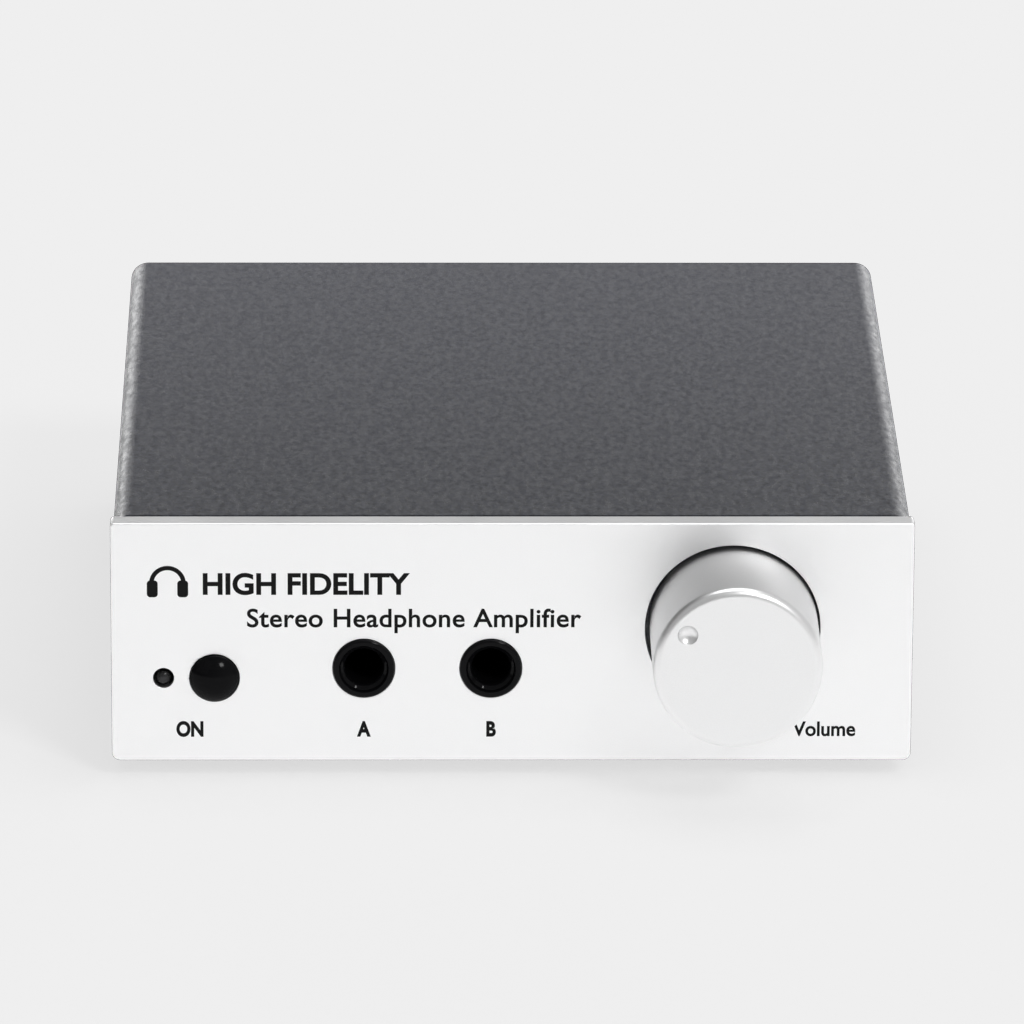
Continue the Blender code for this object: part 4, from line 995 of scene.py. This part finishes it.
def build_pictogram(at):
    """A plain drawing of headphones: a band over two cups."""
    reach, band, steps, rounding = 3.2 * MM, 0.8 * MM, 24, 0.6 * MM
    cup_low, cup_high = (reach - 1.5 * MM, 0), (reach + 0.4 * MM, 3.1 * MM)
    rise = 2.6 * MM  # the middle of the band's arc, above the cups' feet
    outline = arc((0, rise), reach, 0, 180, steps) + arc((0, rise), reach - band, 180, 0, steps)
    solids = [prism(outline, 2 * INK, start=-INK)]
    for side in (-1, 1):
        left, right = sorted((side * cup_low[0], side * cup_high[0]))
        cup = rounded_rectangle((left, cup_low[1]), (right, cup_high[1]), rounding, rounding, 6)
        solids.append(prism(cup, 2 * INK, start=-INK))
    drawing = loose("print_headphones", solids[0], DARK_INK, at, AIM["front"])
    for solid in solids[1:]:
        join(drawing, solid, at, AIM["front"])
    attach(drawing, "case")


def build_rear_print():
    back = CHASSIS_HIGH.y
    cap, weight = 2.4 * MM, 0.05 * MM
    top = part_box("phono_shell_input_left")[1].z + 3.2 * MM
    for text, column in (("IN", "input"), ("OUT", "output")):
        spot = middle_of(f"phono_shell_{column}_left")
        label(f"print_{column}", text, (spot.x, back, top), cap, REAR_PRINT, PALE_INK, weight)
    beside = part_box("phono_shell_input_left")[0].x - 3.0 * MM
    for text, row in (("L", "left"), ("R", "right")):
        z = middle_of(f"phono_shell_input_{row}").z - cap / 2
        label(f"print_{row}", text, (beside, back, z), cap, REAR_PRINT, PALE_INK, weight)
    inlet = middle_of("power_inlet_pin")
    label("print_power", "POWER", (inlet.x, back, inlet.z + 7 * MM), cap, REAR_PRINT, PALE_INK, weight)


# ---- Studio -------------------------------------------------------------------------------------------
BACKDROP = 0.863  # the pale grey behind and under the object
ROOM_LEFT, ROOM_RIGHT = 0.17, 0.7  # the room's brightness on either side, as the object sees it
LIT_POINT = (0, 0, 0.03)
SOFTBOXES = {  # place, width, height, watts
    "key_softbox": ((0.63, -1.05, 1.12), 0.34, 0.34, 10.2),
    "fill_softbox": ((-0.8, -0.7, 0.7), 1.1, 1.1, 0.9),
    "top_softbox": ((0.0, 0.1, 1.1), 0.7, 0.7, 4),
    "left_edge_softbox": ((-0.34, 1.0, 0.14), 0.38, 0.26, 0.7),  # behind the cover, for its side bends
    "right_edge_softbox": ((0.34, 1.0, 0.14), 0.38, 0.26, 0.45),
}
FLOOR_HALF = 4.0
FLOOR_SUN = 11.3


def build_world():
    """An even pale backdrop for the eye; for light, a soft room that is brighter on the right."""
    world = bpy.data.worlds.new("studio")
    bpy.context.scene.world = world
    world.use_nodes = True
    tree = world.node_tree
    tree.nodes.clear()
    towards = node(tree, "ShaderNodeTexCoord").outputs["Generated"]
    side = node(tree, "ShaderNodeSeparateXYZ", {"Vector": towards}).outputs["X"]
    level = ramp(tree, side, -0.7, 0.7, ROOM_LEFT, ROOM_RIGHT)
    room = node(tree, "ShaderNodeBackground", {"Color": grey(1.0), "Strength": level})
    seen = node(tree, "ShaderNodeBackground", {"Color": grey(BACKDROP), "Strength": 1.0})
    eye = node(tree, "ShaderNodeLightPath").outputs["Is Camera Ray"]
    mix = node(tree, "ShaderNodeMixShader", {0: eye, 1: room.outputs[0], 2: seen.outputs[0]})
    node(tree, "ShaderNodeOutputWorld", {"Surface": mix.outputs[0]})


def softbox(name, at, width, height, watts):
    """A rectangle of light turned towards the object, which the camera doesn't see."""
    lamp = bpy.data.lights.new(name, "AREA")
    lamp.shape = "RECTANGLE"
    lamp.size = width
    lamp.size_y = height
    lamp.energy = watts
    made = bpy.data.objects.new(name, lamp)
    bpy.context.scene.collection.objects.link(made)
    made.location = at
    made.rotation_euler = (Vector(LIT_POINT) - Vector(at)).to_track_quat("-Z", "Y").to_euler()
    made.visible_camera = False


def build_lights():
    for name, settings in SOFTBOXES.items():
        softbox(name, *settings)


def build_floor():
    """A wide table, clear from below. It shows as the backdrop itself, with the object's soft shadow."""
    bm = bmesh.new()
    bmesh.ops.create_grid(bm, x_segments=8, y_segments=8, size=FLOOR_HALF)
    made, tree, principled = shader("table_paint", roughness=0.9)
    mottle = speckle(tree, place_in_piece(tree), 60.0)
    below = node(tree, "ShaderNodeNewGeometry").outputs["Backfacing"]
    paint = blended(tree, mottle, grey(0.215), grey(0.225))
    feed(tree, principled, base_color=paint, alpha=calc(tree, "SUBTRACT", 1.0, below))
    floor = loose("floor", bm, made)
    floor.is_shadow_catcher = True
    light_the_floor(floor)


def light_the_floor(floor):
    """A light for the table alone, which nothing blocks: it keeps the object's shadow faint."""
    alone = bpy.data.collections.new("floor_alone")
    alone.objects.link(floor)
    sun = bpy.data.lights.new("floor_light", "SUN")
    sun.energy = FLOOR_SUN
    made = bpy.data.objects.new("floor_light", sun)
    bpy.context.scene.collection.objects.link(made)
    made.light_linking.receiver_collection = alone
    made.light_linking.blocker_collection = alone


# The camera is far off behind a long lens, a little left of the middle and turned by a trace.
CAMERA_DISTANCE = 1.688
CAMERA_LENS, CAMERA_SENSOR = 341.45, 36  # in millimetres
CAMERA_AZIMUTH, CAMERA_ELEVATION, CAMERA_ROLL = -0.916, 19.32, 0.3015  # degrees
CAMERA_AIM = Vector((-0.15 * MM, FACE, PANEL_HIGH.z + 2.14 * MM))


def build_camera():
    azimuth, elevation, roll = map(math.radians, (CAMERA_AZIMUTH, CAMERA_ELEVATION, CAMERA_ROLL))
    out = Vector((math.sin(azimuth), -math.cos(azimuth), 0)) * math.cos(elevation)
    back = out + Vector((0, 0, math.sin(elevation)))
    right = Vector((0, 0, 1)).cross(back).normalized()
    up = back.cross(right)
    turned_right = right * math.cos(roll) + up * math.sin(roll)
    turned_up = up * math.cos(roll) - right * math.sin(roll)
    lens = bpy.data.cameras.new("camera")
    lens.sensor_width = CAMERA_SENSOR
    lens.lens = CAMERA_LENS
    lens.clip_start = 0.01
    lens.clip_end = 50
    camera = bpy.data.objects.new("camera", lens)
    bpy.context.scene.collection.objects.link(camera)
    axes = Matrix((turned_right, turned_up, back)).transposed().to_4x4()
    camera.matrix_world = Matrix.Translation(CAMERA_AIM + back * CAMERA_DISTANCE) @ axes
    bpy.context.scene.camera = camera


# ---- Everything together ------------------------------------------------------------------------------
def finish_cad_nodes():
    """The CAD nodes that stay take their slot's finish."""
    for name, obj in frame["nodes"].items():
        obj.data.materials.clear()
        obj.data.materials.append(FINISH[SLOT_OF[name]])


finish_cad_nodes()
build_front_panel()
build_cover()
build_chassis()
build_feet()
build_screws()
build_knob()
build_knob_screw()
build_button()
build_spring()
build_lamp()
for jack in JACK_AT:
    build_jack(jack)
build_phono_shells()
build_phono_cores()
build_power_inlet()
build_front_print()
build_rear_print()
build_world()
build_lights()
build_floor()
build_camera()
bpy.context.scene.view_settings.view_transform = "Standard"
